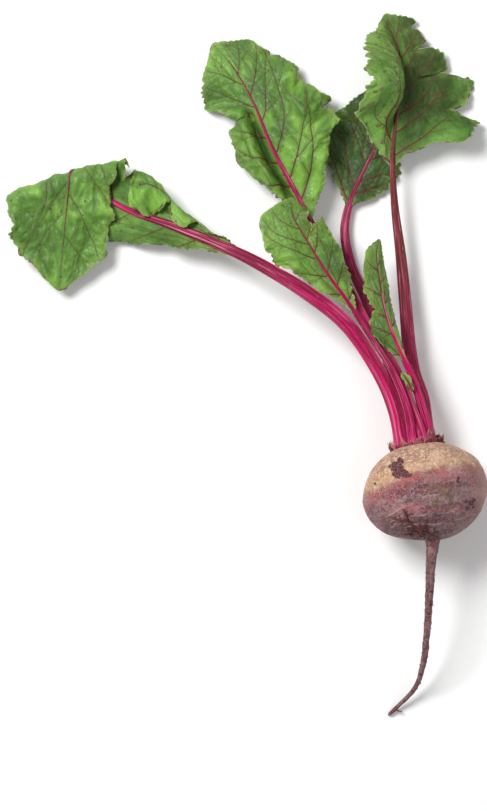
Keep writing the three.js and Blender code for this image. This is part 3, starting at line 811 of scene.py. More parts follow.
blade = {
    "thickness": 0.45,
    "proud": 0.62,  # how far up the stalk's depth the blade is joined to it
    "toothPitch": 4.2,
    "tooth": 1.15,
    "ruffle": 2.1,
    "rufflePitch": 21,
    "quilt": 1.15,  # how far the blade swells between its veins
    "tableGap": 0.1,
    "tableBlend": 0.7,
    "lobes": [(0.05, 4.1), (0.035, 1.9)],  # share of the width, pitch
    "rimWaves": [(0.9, 2, 11), (0.4, 4, 5)],  # height, how near the rim, pitch
    # height, pitch, count, and where the hills begin and are full, from the midrib
    "swells": [(1.05, 24, 9, 3, 12), (0.22, 7.5, 14, 1, 5), (0.07, 3.0, 14, -1, 0)],
    "toneHills": [(0.1, 30, 9), (0.05, 9, 9)],
    "veinPace": 1.6,
    "veinReach": 90,  # the most steps in one vein
    "veinWander": 0.045,
    "veinEnds": (0.985, 0.96),  # shares of the length and the width where veins stop
    "spine": (0.8, 0.15),  # half widths of the midrib's colour at its ends
    "laterals": (0.03, 0.86, 0.4, 0.15),  # first place, spread, lag of the right side, wander
    "lateralTurn": (56, 16, 5),  # degrees at the start, lost along the leaf, wander
    "lateralWidth": (0.5, 0.24, 0.2),  # at the start, lost along the leaf, at the end
    "arch": 0.021,
    "forks": (0.22, 0.4, 0.56, 0.7, 0.84),
    "forkTurn": (30, 46),
    "forkReach": (0.1, 0.28),
    "twigTurn": 38,
    "twigReach": 0.08,
    "twigWidths": (0.14, 0.07),
    "smallest": 0.3,  # how strongly the leaflet has its teeth and swells
}
stalk = {
    "depth": 0.82,
    "lead": 6,
    "sink": 2.5,  # how far it starts inside the crown
    "tipWidth": 0.5,
    "ribs": [(0.55, 10, 1), (0.35, 17, -1), (0.25, 6, 2)],  # height, how many, how they drift
    "ribDepth": 0.068,
    "channel": 0.34,
    "around": 72,
    "steps": 240,
}


def leafLine(leaf):
    points = [
        np.array([crownCentre[0] + x * reach, crownCentre[1] + y * reach, z * crownCentre[2]])
        for x, y, z in leaf["route"]
    ]
    if "seat" in leaf:
        right, up = leaf["seat"]
        seat = crownCentre + (crownRight * right + crownUp * up) * root["crownRadius"] + rootAxis * gap
        points = [seat, seat + rootAxis * stalk["lead"]] + points
    return Line(points)


def stalkHalfWidth(leaf, t):
    # thins from the stalk's end to the tip of the leaf
    if "stalk" not in leaf:
        return np.zeros_like(t)
    end = leaf["stalkEnd"]
    last = leaf["stalk"][-1]
    body = through(leaf["stalk"], t / end)
    thin = last + (stalk["tipWidth"] - last) * np.clip((t - end) / (1 - end), 0, 1)
    return np.where(t < end, body, thin) / 2


def foldOver(leaf, line, places):
    # wraps what lies past the crease over the top, round a circle
    if "fold" not in leaf:
        return places
    fold = leaf["fold"]
    origin, forward, right, up = line.at(fold["at"])
    turn = math.radians(fold["turn"]) + math.atan2(forward[1], forward[0])
    across = np.array([math.cos(turn), math.sin(turn), 0])
    past = (places - origin) @ across
    turned = np.clip(past / fold["radius"], 0, math.radians(fold["angle"]))
    left = np.maximum(past, 0) - turned * fold["radius"]
    arm = fold["radius"] - (places[..., 2] - origin[2])
    moved = arm * np.sin(turned) + left * np.cos(turned)
    folded = places + across * (moved - past)[..., None]
    folded[..., 2] = origin[2] + fold["radius"] - arm * np.cos(turned) + left * np.sin(turned)
    return np.where((past > 0)[..., None], folded, places)


def softFloor(places):
    table = blade["thickness"] / 2 + blade["tableGap"]
    above = places[..., 2] - table
    lifted = places.copy()
    lifted[..., 2] = table + 0.5 * (above + np.hypot(above, 2 * blade["tableBlend"]))
    return lifted


def growVein(start, heading, limit, reachShare, rng, bend):
    # a wandering line in the flat leaf: along, across in millimetres
    points = [np.array(start, float)]
    length, widthAt = limit
    endAlong, endAcross = blade["veinEnds"]
    while len(points) < blade["veinReach"] * reachShare:
        after = points[-1] + blade["veinPace"] * np.array([math.cos(heading), math.sin(heading)])
        side = 1 if after[1] > 0 else -1
        if after[0] > endAlong * length or abs(after[1]) > endAcross * widthAt(after[0], side):
            break
        points.append(after)
        heading = heading * (1 - bend) + rng.normal(0, blade["veinWander"])
    return np.array(points)


def headingAt(points, i):
    along, across = points[i + 1] - points[i]
    return math.atan2(across, along)


def leafVeins(leaf, length, widthAt, rng):
    # the midrib, its laterals, their forks and twigs, each with half widths along it
    limit = (length, widthAt)
    spine = np.stack([np.linspace(0, blade["veinEnds"][0] * length, 60), np.zeros(60)], -1)
    thick, thin = leaf.get("spine", blade["spine"])
    veins = [(spine, np.maximum(np.linspace(thick, thin, 60), blade["spine"][1]))]
    first, spread, lag, stray = blade["laterals"]
    turned, turnLost, turnStray = blade["lateralTurn"]
    wide, wideLost, wideEnd = blade["lateralWidth"]
    count = leaf["laterals"]
    for side in (-1, 1):
        for k in range(count):
            share = first + spread * (k + lag * (side > 0) + rng.uniform(-stray, stray)) / count
            slope = turned - turnLost * share + rng.uniform(-turnStray, turnStray)
            heading = side * math.radians(slope)
            points = growVein((share * length, 0), heading, limit, 1, rng, leaf.get("arch", blade["arch"]))
            if len(points) < 4:
                continue
            thick = leaf.get("veins", 1) * (wide - wideLost * share)
            veins.append((points, np.linspace(thick, wideEnd, len(points))))
            turn = 1 if rng.random() < 0.5 else -1
            for fork in blade["forks"]:
                i = int((len(points) - 2) * (fork + rng.uniform(-0.05, 0.05)))
                if i < 1:
                    continue
                heading = headingAt(points, i) + turn * math.radians(rng.uniform(*blade["forkTurn"]))
                turn = -turn
                branch = growVein(points[i], heading, limit, rng.uniform(*blade["forkReach"]), rng, 0.02)
                if len(branch) < 3:
                    continue
                veins.append((branch, np.linspace(0.65 * thick * (1 - 0.4 * fork), 0.1, len(branch))))
                j = len(branch) // 2
                heading = headingAt(branch, j - 1) - turn * math.radians(blade["twigTurn"])
                twig = growVein(branch[j], heading, limit, blade["twigReach"], rng, 0.02)
                if len(twig) > 2:
                    veins.append((twig, np.linspace(*blade["twigWidths"], len(twig))))
    return veins


def veinField(s, w, veins):
    # distance to the nearest vein's edge, and that vein's half width
    edge = np.full(s.shape, 12.0)
    thick = np.zeros(s.shape)
    for points, half in veins:
        low = points.min(0) - 9
        high = points.max(0) + 9
        near = np.nonzero((s > low[0]) & (s < high[0]) & (w > low[1]) & (w < high[1]))
        place = np.stack([s[near], w[near]], -1)
        for k in range(len(points) - 1):
            step = points[k + 1] - points[k]
            share = np.clip((place - points[k]) @ step / (step @ step), 0, 1)
            away = np.linalg.norm(place - points[k] - share[:, None] * step, axis=1)
            away = away - half[k]
            closer = away < edge[near]
            chosen = tuple(index[closer] for index in near)
            edge[chosen] = away[closer]
            thick[chosen] = half[k]
    return edge, thick


def sectionOf(half, along, width, across, land):
    # outward and upward from the midrib, for the share of the width that is crossed
    lift = through(half["lift"], along)
    curl = through(half["curl"], along)
    roll = through(half.get("roll", [0, 0]), along)
    share = across / width
    outward = np.zeros_like(share)
    rising = np.zeros_like(share)
    steps = 20
    for i in range(steps):
        here = share * (i + 0.5) / steps
        past = rise(here * width, land, 2 * land + 0.5)
        turned = lift - curl * (0.5 - here) + roll * rise(here, *half.get("rollShares", (0.4, 0.7)))
        angle = np.radians(past * turned)
        outward += np.cos(angle) * across / steps
        rising += np.sin(angle) * across / steps
    return outward, rising


def outlineOf(half, row, length, small, rng):
    # the width of one half, how far its rim is swept along, and its teeth
    width = through(half["widths"], row)
    for at, depth, spread in half.get("notches", []):
        width = width * (1 - depth * np.exp(-(((row - at) / spread) ** 2)))
    phase = rng.uniform(0, 6.28, 4)
    lobes = [share * np.sin(row * length / pitch + p) for (share, pitch), p in zip(blade["lobes"], phase)]
    width = width * (1 + sum(lobes))
    width = width * np.sqrt(np.clip(1 - np.clip((row - 0.9) / 0.1, 0, 1) ** 2.4, 0.0004, 1))
    width = width * rise(row, -0.01, 0.02)
    sweep = through(half.get("sweep", [0, 0]), row)
    rim = np.stack([row * length + sweep, width], -1)
    run = np.concatenate([[0], np.cumsum(np.linalg.norm(np.diff(rim, axis=0), axis=1))])
    warp = run + 1.3 * np.sin(run / 5.3 + phase[2]) + 0.8 * np.sin(run / 2.7 + phase[3])
    tooth = np.abs(np.sin(np.pi * warp / (blade["toothPitch"] * small ** 0.5))) - 0.6
    tooth = tooth * blade["tooth"] * small * (0.75 + 0.5 * np.sin(run / 8.3 + phase[1]))
    teeth = unit(np.gradient(rim, axis=0)) * (tooth * np.minimum(1, width / 4))[:, None]
    return width, sweep, rim, teeth


def bladeSheet(leaf):
    # the places of the blade's middle surface, and the values that its finish reads
    rng = np.random.default_rng(leaf["seed"])
    columns, steps = leaf["grid"]
    line = leafLine(leaf)
    length = line.length * (1 - leaf["bladeFrom"])
    small = 1 if "seat" in leaf else blade["smallest"]
    row = 1 - (1 - np.arange(steps + 1) / steps) ** 1.12
    along, across = np.meshgrid(row, np.arange(columns + 1) / columns * 2 - 1, indexing="ij")
    s = along * length
    w = np.zeros_like(s)
    v = np.abs(across)
    margin = np.zeros_like(s)
    rims = {}
    for side, name in ((-1, "left"), (1, "right")):
        width, sweep, rims[side], teeth = outlineOf(leaf[name], row, length, small, rng)
        here = np.sign(across) == side
        s = np.where(here, s + sweep[:, None] * v ** 2 - v ** 9 * teeth[:, 1:], s)
        w = np.where(here, side * (width[:, None] * v + v ** 9 * teeth[:, :1]), w)
        margin = np.where(here, (1 - v) * width[:, None], margin)
    share = s / length
    t = leaf["bladeFrom"] + (1 - leaf["bladeFrom"]) * share

    def widthAt(place, side):
        return float(np.interp(place, rims[side][:, 0], rims[side][:, 1]))

    edge, thick = veinField(s, w, leafVeins(leaf, length, widthAt, rng))
    halfWidth = stalkHalfWidth(leaf, t)
    outward = np.zeros_like(s)
    rising = np.zeros_like(s)
    for side, name in ((-1, "left"), (1, "right")):
        here = np.sign(w) == side
        width = through(leaf[name]["widths"], share)
        out, up = sectionOf(leaf[name], share, width, np.abs(w), halfWidth)
        outward = np.where(here, out, outward)
        rising = np.where(here, up, rising)
    # waves that grow towards the margin, with finer ones beside it
    flat = np.stack([s, w], -1)
    rim = np.clip(np.minimum(4 * along, 4 * (1 - along)), 0, 1) * v ** 2
    phase = 2 * np.pi * s / blade["rufflePitch"] + np.where(w < 0, 2.0, 0.0)
    ruffle = blade["ruffle"] * rim * np.sin(phase)
    for height, power, pitch in blade["rimWaves"]:
        ruffle = ruffle + height * rim * v ** power * lumps(flat, pitch, rng)
    ruffle = ruffle * (1 if "seat" in leaf else 0.25)
    point, forward, right, up = line.at(t)
    places = point + right * (np.sign(w) * outward)[..., None]
    lifted = leaf["faceUp"] * blade["proud"] * halfWidth * stalk["depth"] + rising + ruffle
    places = places + up * lifted[..., None]
    # between the veins the blade swells towards its upper side
    normal = unit(np.cross(np.gradient(places, axis=1), np.gradient(places, axis=0)))
    between = rise(edge, 0, 4.5) * (0.35 + 0.65 * rise(np.abs(w), 2, 9)) * rise(margin, 0, 4)
    swell = blade["quilt"] * small * between
    for height, pitch, count, begin, full in blade["swells"]:
        swell = swell + small * height * lumps(flat, pitch, rng, count) * rise(np.abs(w), begin, full)
    swell = swell - 0.5 * thick * np.exp(-((np.maximum(edge, 0) / 0.7) ** 2))
    pleated = np.zeros_like(s)
    for start, end, aside, spread, height in leaf.get("pleats", []):
        fade = rise(share, start, start + 0.14) * rise(-share, -end, -end + 0.14)
        pleated = pleated + height * fade * np.exp(-(((w - aside) / spread) ** 2))
    places = places + normal * (leaf["faceUp"] * (swell + pleated))[..., None]
    places = softFloor(foldOver(leaf, line, places))
    # the tone along the blade: partly the leaf's own lighter and darker green, partly painted light and
    # shade
    tone = through(leaf["tone"], share) + hills(flat, rng, blade["toneHills"])
    # the tone added to each half is painted light and shade: lighter on a half that faces the light,
    # darker on one in shadow
    tone = tone + np.where(w < 0, *leaf.get("paintedSideLight", (0, 0))) * rise(np.abs(w), 1, 9)
    # painted shade in the pleats' valleys and a little painted highlight on their ridges
    tone = tone + np.where(pleated < 0, 0.16, 0.05) * pleated
    # round patches of painted highlight and painted shade
    for at, aside, spread, height in leaf.get("paintedLightPatches", []):
        tone = tone + height * np.exp(-(((s - at * length) ** 2 + (w - aside) ** 2) / spread ** 2))
    return places, {
        "edge": edge,
        "thick": thick,
        "margin": margin,
        "tone": tone,
        "blemish": np.where(w < 0, *leaf.get("blemish", (0.0, 0.0))),
        "flat": np.concatenate([flat, np.full(s.shape + (1,), leaf["seed"] * 37.0)], -1),
    }


def paintBlade(wire, c):
    flat = wire.vector("flat")
    edge = wire.value("edge")
    thick = wire.value("thick")
    margin = wire.value("margin")
    wander = flat.stir(3.5, 1.6)
    cloud = flat.noise(16, 4, 0.6)
    mottle = flat.noise(3.2, 4, 0.65)
    grain = flat.noise(0.7, 3, 0.6)
    lines = wander.cells(2.3).rise(0.2, 0.03)
    fineLines = wander.cells(0.95).rise(0.14, 0.02)
    # lightness from the tone, which carries painted light and shade, and from the leaf's own cloudy and
    # mottled greens
    light = wire.value("tone") + (cloud - 0.5) * 0.75 + (mottle - 0.5) * 0.28
    # lighter away from the veins: a painted highlight on the blade's swelling between them
    light = (light + edge.rise(0.5, 5) * 0.12 - 0.05).least(1).most(0)
    burnt = margin.rise(1.5, 0.2) * flat.noise(7, 2, 0.5).rise(0.53, 0.6)
    # spots: brown with a paler middle
    speck = flat.stir(1.6, 2.0).cells(6.5, "F1", "2D") + (flat.noise(6, 1, 0.5) - 0.5) * 2.2
    keep = (flat.noise(12, 2, 0.5) + wire.value("blemish") * 0.11).rise(0.56, 0.61)
    spot = speck.rise(c["spot"], c["spot"] * 0.7) * keep
    heart = speck.rise(c["spot"] * 0.5, c["spot"] * 0.25) * keep
    # veins: magenta where thick, dark red-brown where thin
    fray = (flat.noise(1.3, 2, 0.6) - 0.5) * 0.14
    vein = (edge + fray).rise(0.13, -0.05) * thick.rise(0.03, 0.16)
    veinShare = vein * (thick.rise(0.04, 0.35) * 0.68 + 0.32)
    colour = layered(
        light.rise(0.05, 0.55).mix(c["dark"], c["middle"]), c,
        (light.rise(0.45, 1.0), "bright"),
        # darker beside the veins: painted shade along them
        (edge.rise(3.4, 0.2) * c["veinShadeShare"], "beside"),
        (margin.rise(9, 0) * cloud.rise(0.35, 0.6) * 0.4, "yellow"),
        (lines * c["netShare"], "net"),
        (fineLines * c["netShare"] * 0.55, "net"),
        (grain.rise(0.55, 0.75) * 0.25, "dark"),
        (margin.rise(0.9, 0.25) * 0.65, "rim"),
        (burnt * 0.9, "brown"),
        (spot * 0.85, "brown"),
        (heart * 0.5, "spotPale"),
    )
    veinColour = thick.rise(0.3, 0.75).mix(c["veinThin"], c["veinThick"])
    height = 0.5 - lines * 0.35 - fineLines * 0.16 + mottle * 0.35 + grain * 0.12
    height = height - vein * c["veinSink"] - spot * 0.2
    return {
        "Base Color": veinShare.least(1).mix(colour, veinColour),
        "Roughness": c["rough"] + (mottle - 0.5) * 0.18 + vein * 0.08 + grain * 0.06,
        "Normal": height.bump(c["bump"], 0.8),
    }


topColours = {
    "dark": (0.020, 0.050, 0.009, 1),
    "middle": (0.068, 0.175, 0.020, 1),
    "bright": (0.192, 0.40, 0.052, 1),
    # painted shade beside the veins
    "beside": (0.038, 0.095, 0.012, 1),
    "veinShadeShare": 0.42,
    "yellow": (0.23, 0.34, 0.06, 1),
    "net": (0.16, 0.28, 0.055, 1),
    "netShare": 0.16,
    "rim": (0.30, 0.36, 0.13, 1),
    "brown": (0.075, 0.03, 0.018, 1),
    "spot": 0.95,
    "spotPale": (0.22, 0.14, 0.12, 1),
    "veinThin": (0.075, 0.016, 0.012, 1),
    "veinThick": (0.24, 0.010, 0.042, 1),
    "veinSink": 0.3,
    "rough": 0.34,
    "bump": 0.42,
}
underColours = {
    "dark": (0.026, 0.056, 0.012, 1),
    "middle": (0.077, 0.188, 0.030, 1),
    "bright": (0.158, 0.325, 0.060, 1),
    # painted shade beside the veins
    "beside": (0.075, 0.14, 0.03, 1),
    "veinShadeShare": 0.2,
    "yellow": (0.24, 0.33, 0.09, 1),
    "net": (0.06, 0.12, 0.022, 1),
    "netShare": 0.28,
    "rim": (0.34, 0.40, 0.17, 1),
    "brown": (0.095, 0.045, 0.03, 1),
    "spot": 1.05,
    "spotPale": (0.25, 0.18, 0.14, 1),
    "veinThin": (0.11, 0.028, 0.018, 1),
    "veinThick": (0.20, 0.016, 0.034, 1),
    "veinSink": -0.5,
    "rough": 0.55,
    "bump": 0.3,
}


def paintStalk(wire, c):
    grain = wire.vector("grain")
    rib = wire.value("rib")
    tone = wire.value("tone")
    streak = grain.by(1, 1, 0.03).noise(0.8, 4, 0.65)
    broad = grain.by(1, 1, 0.03).noise(3.0, 3, 0.5)
    fine = grain.by(1, 1, 0.12).noise(0.45, 3, 0.6)
    patch = grain.by(0.5, 0.5, 0.3).noise(7, 3, 0.5)
    # pale on the rib crests is a painted highlight
    pale = (rib.rise(0.2, 0.9) * streak.rise(0.42, 0.58) * patch.rise(0.36, 0.56)).least(1)
    edges = grain.by(1, 1, 0.02).noise(1.5, 2, 0.4).rise(0.6, 0.68)
    thread = grain.by(1, 1, 0.012).noise(0.75, 2, 0.5).rise(0.57, 0.66) * patch.rise(0.34, 0.5)
    near = wire.value("from").rise(22, 2) * streak.rise(0.35, 0.55)
    scuff = grain.by(1, 1, 0.25).noise(2.2, 3, 0.6).rise(0.66, 0.72)
    colour = layered(
        c["deep"], c,
        (broad.rise(0.35, 0.65), "magenta"),
        (streak.rise(0.5, 0.68) * 0.7, "hot"),
        (pale * 0.6, "pale"),
        (streak.rise(0.44, 0.3) * 0.8, "dark"),
        # dark in the grooves between the ribs: painted shade
        (rib.rise(-0.1, -0.9) * 0.6 * broad.rise(0.62, 0.4), "dark"),
        (edges * 0.7, "deep"),
    )
    # the shade of each stalk: hot pink near the crown, brown on the right one
    colour = tone.rise(0.35, 0.9).mix(colour, streak.rise(0.4, 0.6).mix(c["brown"], c["brownPale"]))
    colour = layered(
        colour, c,
        # a low tone darkens the stalk: partly its own darker middle and partly painted shade where the
        # stalk lies in shadow, as the back leaf's
        (tone.rise(0.25, 0.0) * 0.55, "dark"),
        (fine.rise(0.58, 0.7) * 0.15, "pale"),
        (thread * 0.5, "pale"),
        (near * 0.45, "base"),
        (scuff * 0.5, "scuff"),
    )
    height = streak * 0.7 + fine * 0.25 + rib * 0.2 - scuff * 0.2
    return {
        "Base Color": colour,
        "Roughness": 0.36 + fine * 0.2 + scuff * 0.2,
        "Normal": height.bump(0.45, 0.8),
    }


stalkColours = {
    "magenta": (0.46, 0.005, 0.095, 1),
    "hot": (0.72, 0.012, 0.20, 1),
    "deep": (0.22, 0.003, 0.036, 1),
    "dark": (0.07, 0.001, 0.012, 1),
    # pale pink, used for the stalks' own pale streaks and for the painted highlight on the rib crests
    "pale": (0.90, 0.26, 0.40, 1),
    "base": (0.76, 0.04, 0.23, 1),
    "brown": (0.085, 0.009, 0.011, 1),
    "brownPale": (0.17, 0.032, 0.026, 1),
    "scuff": (0.42, 0.24, 0.13, 1),
}
topMaterial = newMaterial("leafTop", paintBlade, topColours, 0.35)
underMaterial = newMaterial("leafUnder", paintBlade, underColours, 0.2)
stalkMaterial = newMaterial("leafStalk", paintStalk, stalkColours, 0.2)


def makeBlade(leaf):
    node = leaf["name"] + "_blade" if "seat" in leaf else leaf["name"]
    piece, order = newSheet(leaf["name"].replace("_leaf", "") + "LeafSheet", *leaf["grid"])
    shapeUp(piece, order, *bladeSheet(leaf))
    wall = piece.modifiers.new("wall", "SOLIDIFY")
    wall.thickness = blade["thickness"] * mm
    wall.offset = 0
    wall.use_even_offset = False
    wall.material_offset = 1
    sides = (topMaterial, underMaterial) if leaf["faceUp"] > 0 else (underMaterial, topMaterial)
    finish(piece, [node], "leaf", *sides)
    bpy.context.view_layer.objects.active = piece
    bpy.ops.object.modifier_apply(modifier="wall")
    piece.data.shade_smooth()
    print(leaf["name"], "blade made:", len(piece.data.polygons), "faces")


def stalkSurface(leaf):
    line = leafLine(leaf)
    phases = np.random.default_rng(leaf["seed"] + 100).uniform(0, 2 * np.pi, 6)

    def surface(angle, share):
        sink = stalk["sink"] / line.length
        t = -sink + share * (0.985 + sink)
        place = t * line.length
        halfWidth = stalkHalfWidth(leaf, np.clip(t, 0, 1)) * (1 + 0.16 * np.exp(-np.maximum(place, 0) / 7))
        if "fold" in leaf:
            # the broken midrib stands out at the crease
            knob = np.exp(-(((t - leaf["fold"]["at"] - 0.02) / 0.009) ** 2))
            halfWidth = halfWidth * (1 + leaf["fold"]["knob"] * knob)
        halfDepth = halfWidth * stalk["depth"]
        drift = 0.35 * np.sin(place / 47 + phases[3])
        rib = sum(
            height * np.cos(count * angle + phase + turn * drift)
            for (height, count, turn), phase in zip(stalk["ribs"], phases)
        )
        ribbed = 1 + stalk["ribDepth"] * rib * rise(halfWidth, 0.5, 2.5)
        closed = np.sqrt(np.clip(np.minimum(share / 0.004, (1 - share) / 0.004), 0, 1))
        x = np.cos(angle) * halfWidth * ribbed * closed
        z = np.sin(angle) * halfDepth * ribbed * closed
        # a shallow channel along the side that becomes the leaf's upper side
        upper = np.clip(np.sin(angle) * leaf["faceUp"], 0, 1)
        fade = rise(-t, -leaf["bladeFrom"] - 0.05, -leaf["bladeFrom"] + 0.2)
        channel = stalk["channel"] * halfDepth * upper * np.exp(-((np.cos(angle) / 0.5) ** 2)) * fade
        z = z - leaf["faceUp"] * channel
        point, forward, right, up = line.at(t)
        places = foldOver(leaf, line, point + right * x[..., None] + up * z[..., None])
        along = place + leaf["seed"] * 531
        grain = np.stack([np.cos(angle) * halfWidth, np.sin(angle) * halfWidth, along], -1)
        return places, {"grain": grain, "rib": rib, "tone": through(leaf["stalkTone"], t), "from": place}

    return surface


for leaf in leaves:
    makeBlade(leaf)
    if "seat" in leaf:
        name = leaf["name"].replace("_leaf", "") + "LeafStalk"
        stem = newTube(name, stalk["around"], stalk["steps"], stalkSurface(leaf))
        finish(stem, [leaf["name"] + "_stalk"], "stalk", stalkMaterial)

# torn stubs of old stalks round the crown
stubs = {
    # clock angle, height, width, outward lean, colour share
    "rows": [
        (118, 8.0, 6, 0.1, 0.5), (152, 5.5, 5.2, 0.35, 0.2), (186, 6.5, 4.6, 0.45, 0.4),
        (222, 4.5, 5.4, 0.3, 0.5), (262, 5.5, 4.6, 0.2, 0.3), (300, 4.5, 4.8, 0.45, 1.1),
        (330, 4.4, 5.6, 0.3, 0.9), (4, 3.6, 5.6, 0.3, 0.6), (36, 7.6, 6.4, 0.15, 0.5),
        (72, 4.6, 5.6, 0.3, 0.2),
    ],
    "foot": 1.2,  # how far it starts inside the crown
    "jags": [(0.20, 2.6), (0.07, 8)],
    "fray": (0.04, 19),
    "hollow": (-0.9, 0.45),
    "thickness": 2.2,
    "around": 44,
    "steps": 34,
}


def outwardAt(clock):
    turn = math.radians(clock)
    return crownRight * math.sin(turn) + crownUp * math.cos(turn)


def stubSurface(row, index, inset=0.0):
    # a ribbed flake with a ragged top; inset moves it in from the rim
    clock, height, width, tilt, tone = row
    rng = np.random.default_rng(300 + index)
    outward = outwardAt(clock)
    sideways = np.cross(rootAxis, outward)
    half = stubs["thickness"] / 2
    seatRadius = root["crownRadius"] - half - gap - inset
    slant = rng.uniform(-0.5, 0.5)
    phases = rng.uniform(0, 6.28, 4)
    narrowing = rng.uniform(0.25, 0.8)

    def surface(angle, share):
        closed = np.sqrt(np.clip(np.minimum(share / 0.05, (1 - share) / 0.05), 0, 1))
        x = np.cos(angle) * closed
        thick = np.sin(angle) * closed
        jag = slant * x
        for (deep, tempo), phase in zip(stubs["jags"] + [stubs["fray"]], phases):
            jag = jag + deep * np.sin(tempo * x + phase)
        rising = -stubs["foot"] + share * (height + stubs["foot"]) * (1 + jag * share ** 2)
        rib = np.cos(13 * x + phases[3]) * 0.12 + np.cos(7 * angle) * 0.06
        depth = thick * half * (1 - 0.55 * share) * (1 + rib)
        curve, shift = stubs["hollow"]
        push = seatRadius + depth + curve * x ** 2 * (1 - 0.3 * share) + shift
        push = push + tilt * np.maximum(rising, 0) + 0.5 * share ** 2 * np.sin(3 * x + phases[1])
        places = crownCentre + rootAxis * rising[..., None] + outward * push[..., None]
        taper = 1.12 - narrowing * share ** 1.5
        places = places + sideways * (x * taper * width / 2)[..., None]
        grain = np.stack([x * width / 2, thick * 1.1, rising + index * 61.0], -1)
        return places, {"grain": grain, "up": share, "tone": np.full(share.shape, tone)}

    return surface


def paintStub(wire, c):
    grain = wire.vector("grain")
    up = wire.value("up")
    tone = wire.value("tone")
    streak = grain.by(1, 1, 0.14).noise(0.8, 4, 0.6)
    patch = grain.noise(2.6, 3, 0.6)
    fine = grain.by(1, 1, 0.4).noise(0.35, 3, 0.6)
    colour = layered(
        c["dark"], c,
        ((tone + (patch - 0.5) * 0.9).rise(0.3, 0.9), "pink"),
        # lighter on the raised streaks: partly the flakes' own streaks and partly a painted highlight
        (streak.rise(0.45, 0.65) * 0.7, "streakAndHighlight"),
        (streak.rise(0.44, 0.3) * 0.9, "dark"),
        (patch.rise(0.5, 0.6) * (1 - tone) * 0.8, "dark"),
        ((up + patch * 0.6).rise(1.0, 1.25) * streak.rise(0.4, 0.55) * 0.8, "dry"),
        # darker towards the foot of each piece: painted shade where it meets the crown or the skin
        (up.rise(0.35, 0.05) * 0.75, "brown"),
    )
    height = streak * 0.8 + fine * 0.3
    return {"Base Color": colour, "Roughness": 0.5 + fine * 0.3, "Normal": height.bump(0.6, 0.9)}


stubColours = {
    "pink": (0.50, 0.13, 0.16, 1),
    "streakAndHighlight": (0.36, 0.07, 0.10, 1),
    "dark": (0.075, 0.008, 0.018, 1),
    "dry": (0.52, 0.30, 0.22, 1),
    # the dark brown of the painted shade at the foot
    "brown": (0.08, 0.028, 0.014, 1),
}
stubMaterial = newMaterial("tornStub", paintStub, stubColours, 0.15)
for index, row in enumerate(stubs["rows"]):
    stub = newTube("tornStub" + str(index + 1), stubs["around"], stubs["steps"], stubSurface(row, index))
    finish(stub, ["crown_stub_" + str(index + 1)], "stub", stubMaterial)

# small torn scraps between the stubs, and dry hairs beside them
scraps = {
    "count": 46,
    "height": (1.2, 3.2),
    "width": (2.0, 4.6),
    "lean": (0.1, 0.6),
    "tone": (0, 0.8),
    "inset": (-0.9, 2.4),
    "seed": 61,
    "around": 14,
    "steps": 10,
}
hairs = {
    # clock angle, length, outward lean, radius
    "rows": [
        (272, 7.5, 0.42, 0.42), (283, 6.5, 0.18, 0.36), (264, 5.0, 0.7, 0.3), (292, 8.0, 0.32, 0.3),
        (255, 4.5, 0.4, 0.35), (60, 4.0, 0.7, 0.3), (84, 5.0, 0.5, 0.3), (196, 6.0, 0.6, 0.35),
        (140, 6.5, 0.5, 0.3), (228, 5.5, 0.8, 0.3),
    ],
    "tip": 0.08,
    "tone": 0.45,
    "around": 6,
    "steps": 14,
}


def threadSurface(points, pieces, thick, thin, tone, offset):
    # a thin tapering thread through these points, a little knotty
    line = Line(points, pieces)

    def surface(angle, share):
        point, forward, right, up = line.at(share)
        radius = (thick + (thin - thick) * share) * (1 + 0.18 * np.sin(share * 23 + offset))
        radius = radius * np.sqrt(np.clip(np.minimum(share, 1 - share) / 0.03, 0, 1))
        x = np.cos(angle)
        z = np.sin(angle)
        places = point + (right * x[..., None] + up * z[..., None]) * radius[..., None]
        grain = np.stack([x, z, share * line.length + offset * 7], -1)
        return places, {"grain": grain, "up": share * 0.9, "tone": np.full(share.shape, tone)}

    return surface


def makeScraps():
    rng = np.random.default_rng(scraps["seed"])
    flakes = []
    for index in range(scraps["count"]):
        clock = index * 360 / scraps["count"] + rng.uniform(-6, 6)
        row = [clock] + [rng.uniform(*scraps[key]) for key in ("height", "width", "lean", "tone")]
        surface = stubSurface(row, 40 + index, rng.uniform(*scraps["inset"]))
        flakes.append(newTube("scrap", scraps["around"], scraps["steps"], surface))
    finish(joinAll("crownScraps", flakes), [], "stub", stubMaterial)
    threads = []
    for index, (clock, length, tilt, radius) in enumerate(hairs["rows"]):
        outward = outwardAt(clock)
        start = crownCentre + outward * (root["crownRadius"] - 0.6) - rootAxis * 0.8
        sideways = np.cross(rootAxis, outward) * rng.uniform(-1.2, 1.2)
        tip = start + rootAxis * length + outward * tilt * length * 0.6 + sideways
        points = [start, (start + tip) / 2 - outward * 0.5, tip]
        surface = threadSurface(points, 16, radius, hairs["tip"], hairs["tone"], index)
        threads.append(newTube("hair", hairs["around"], hairs["steps"], surface))
    finish(joinAll("crownHairs", threads), [], "stub", stubMaterial)


makeScraps()
print("stubs, scraps and hairs made")

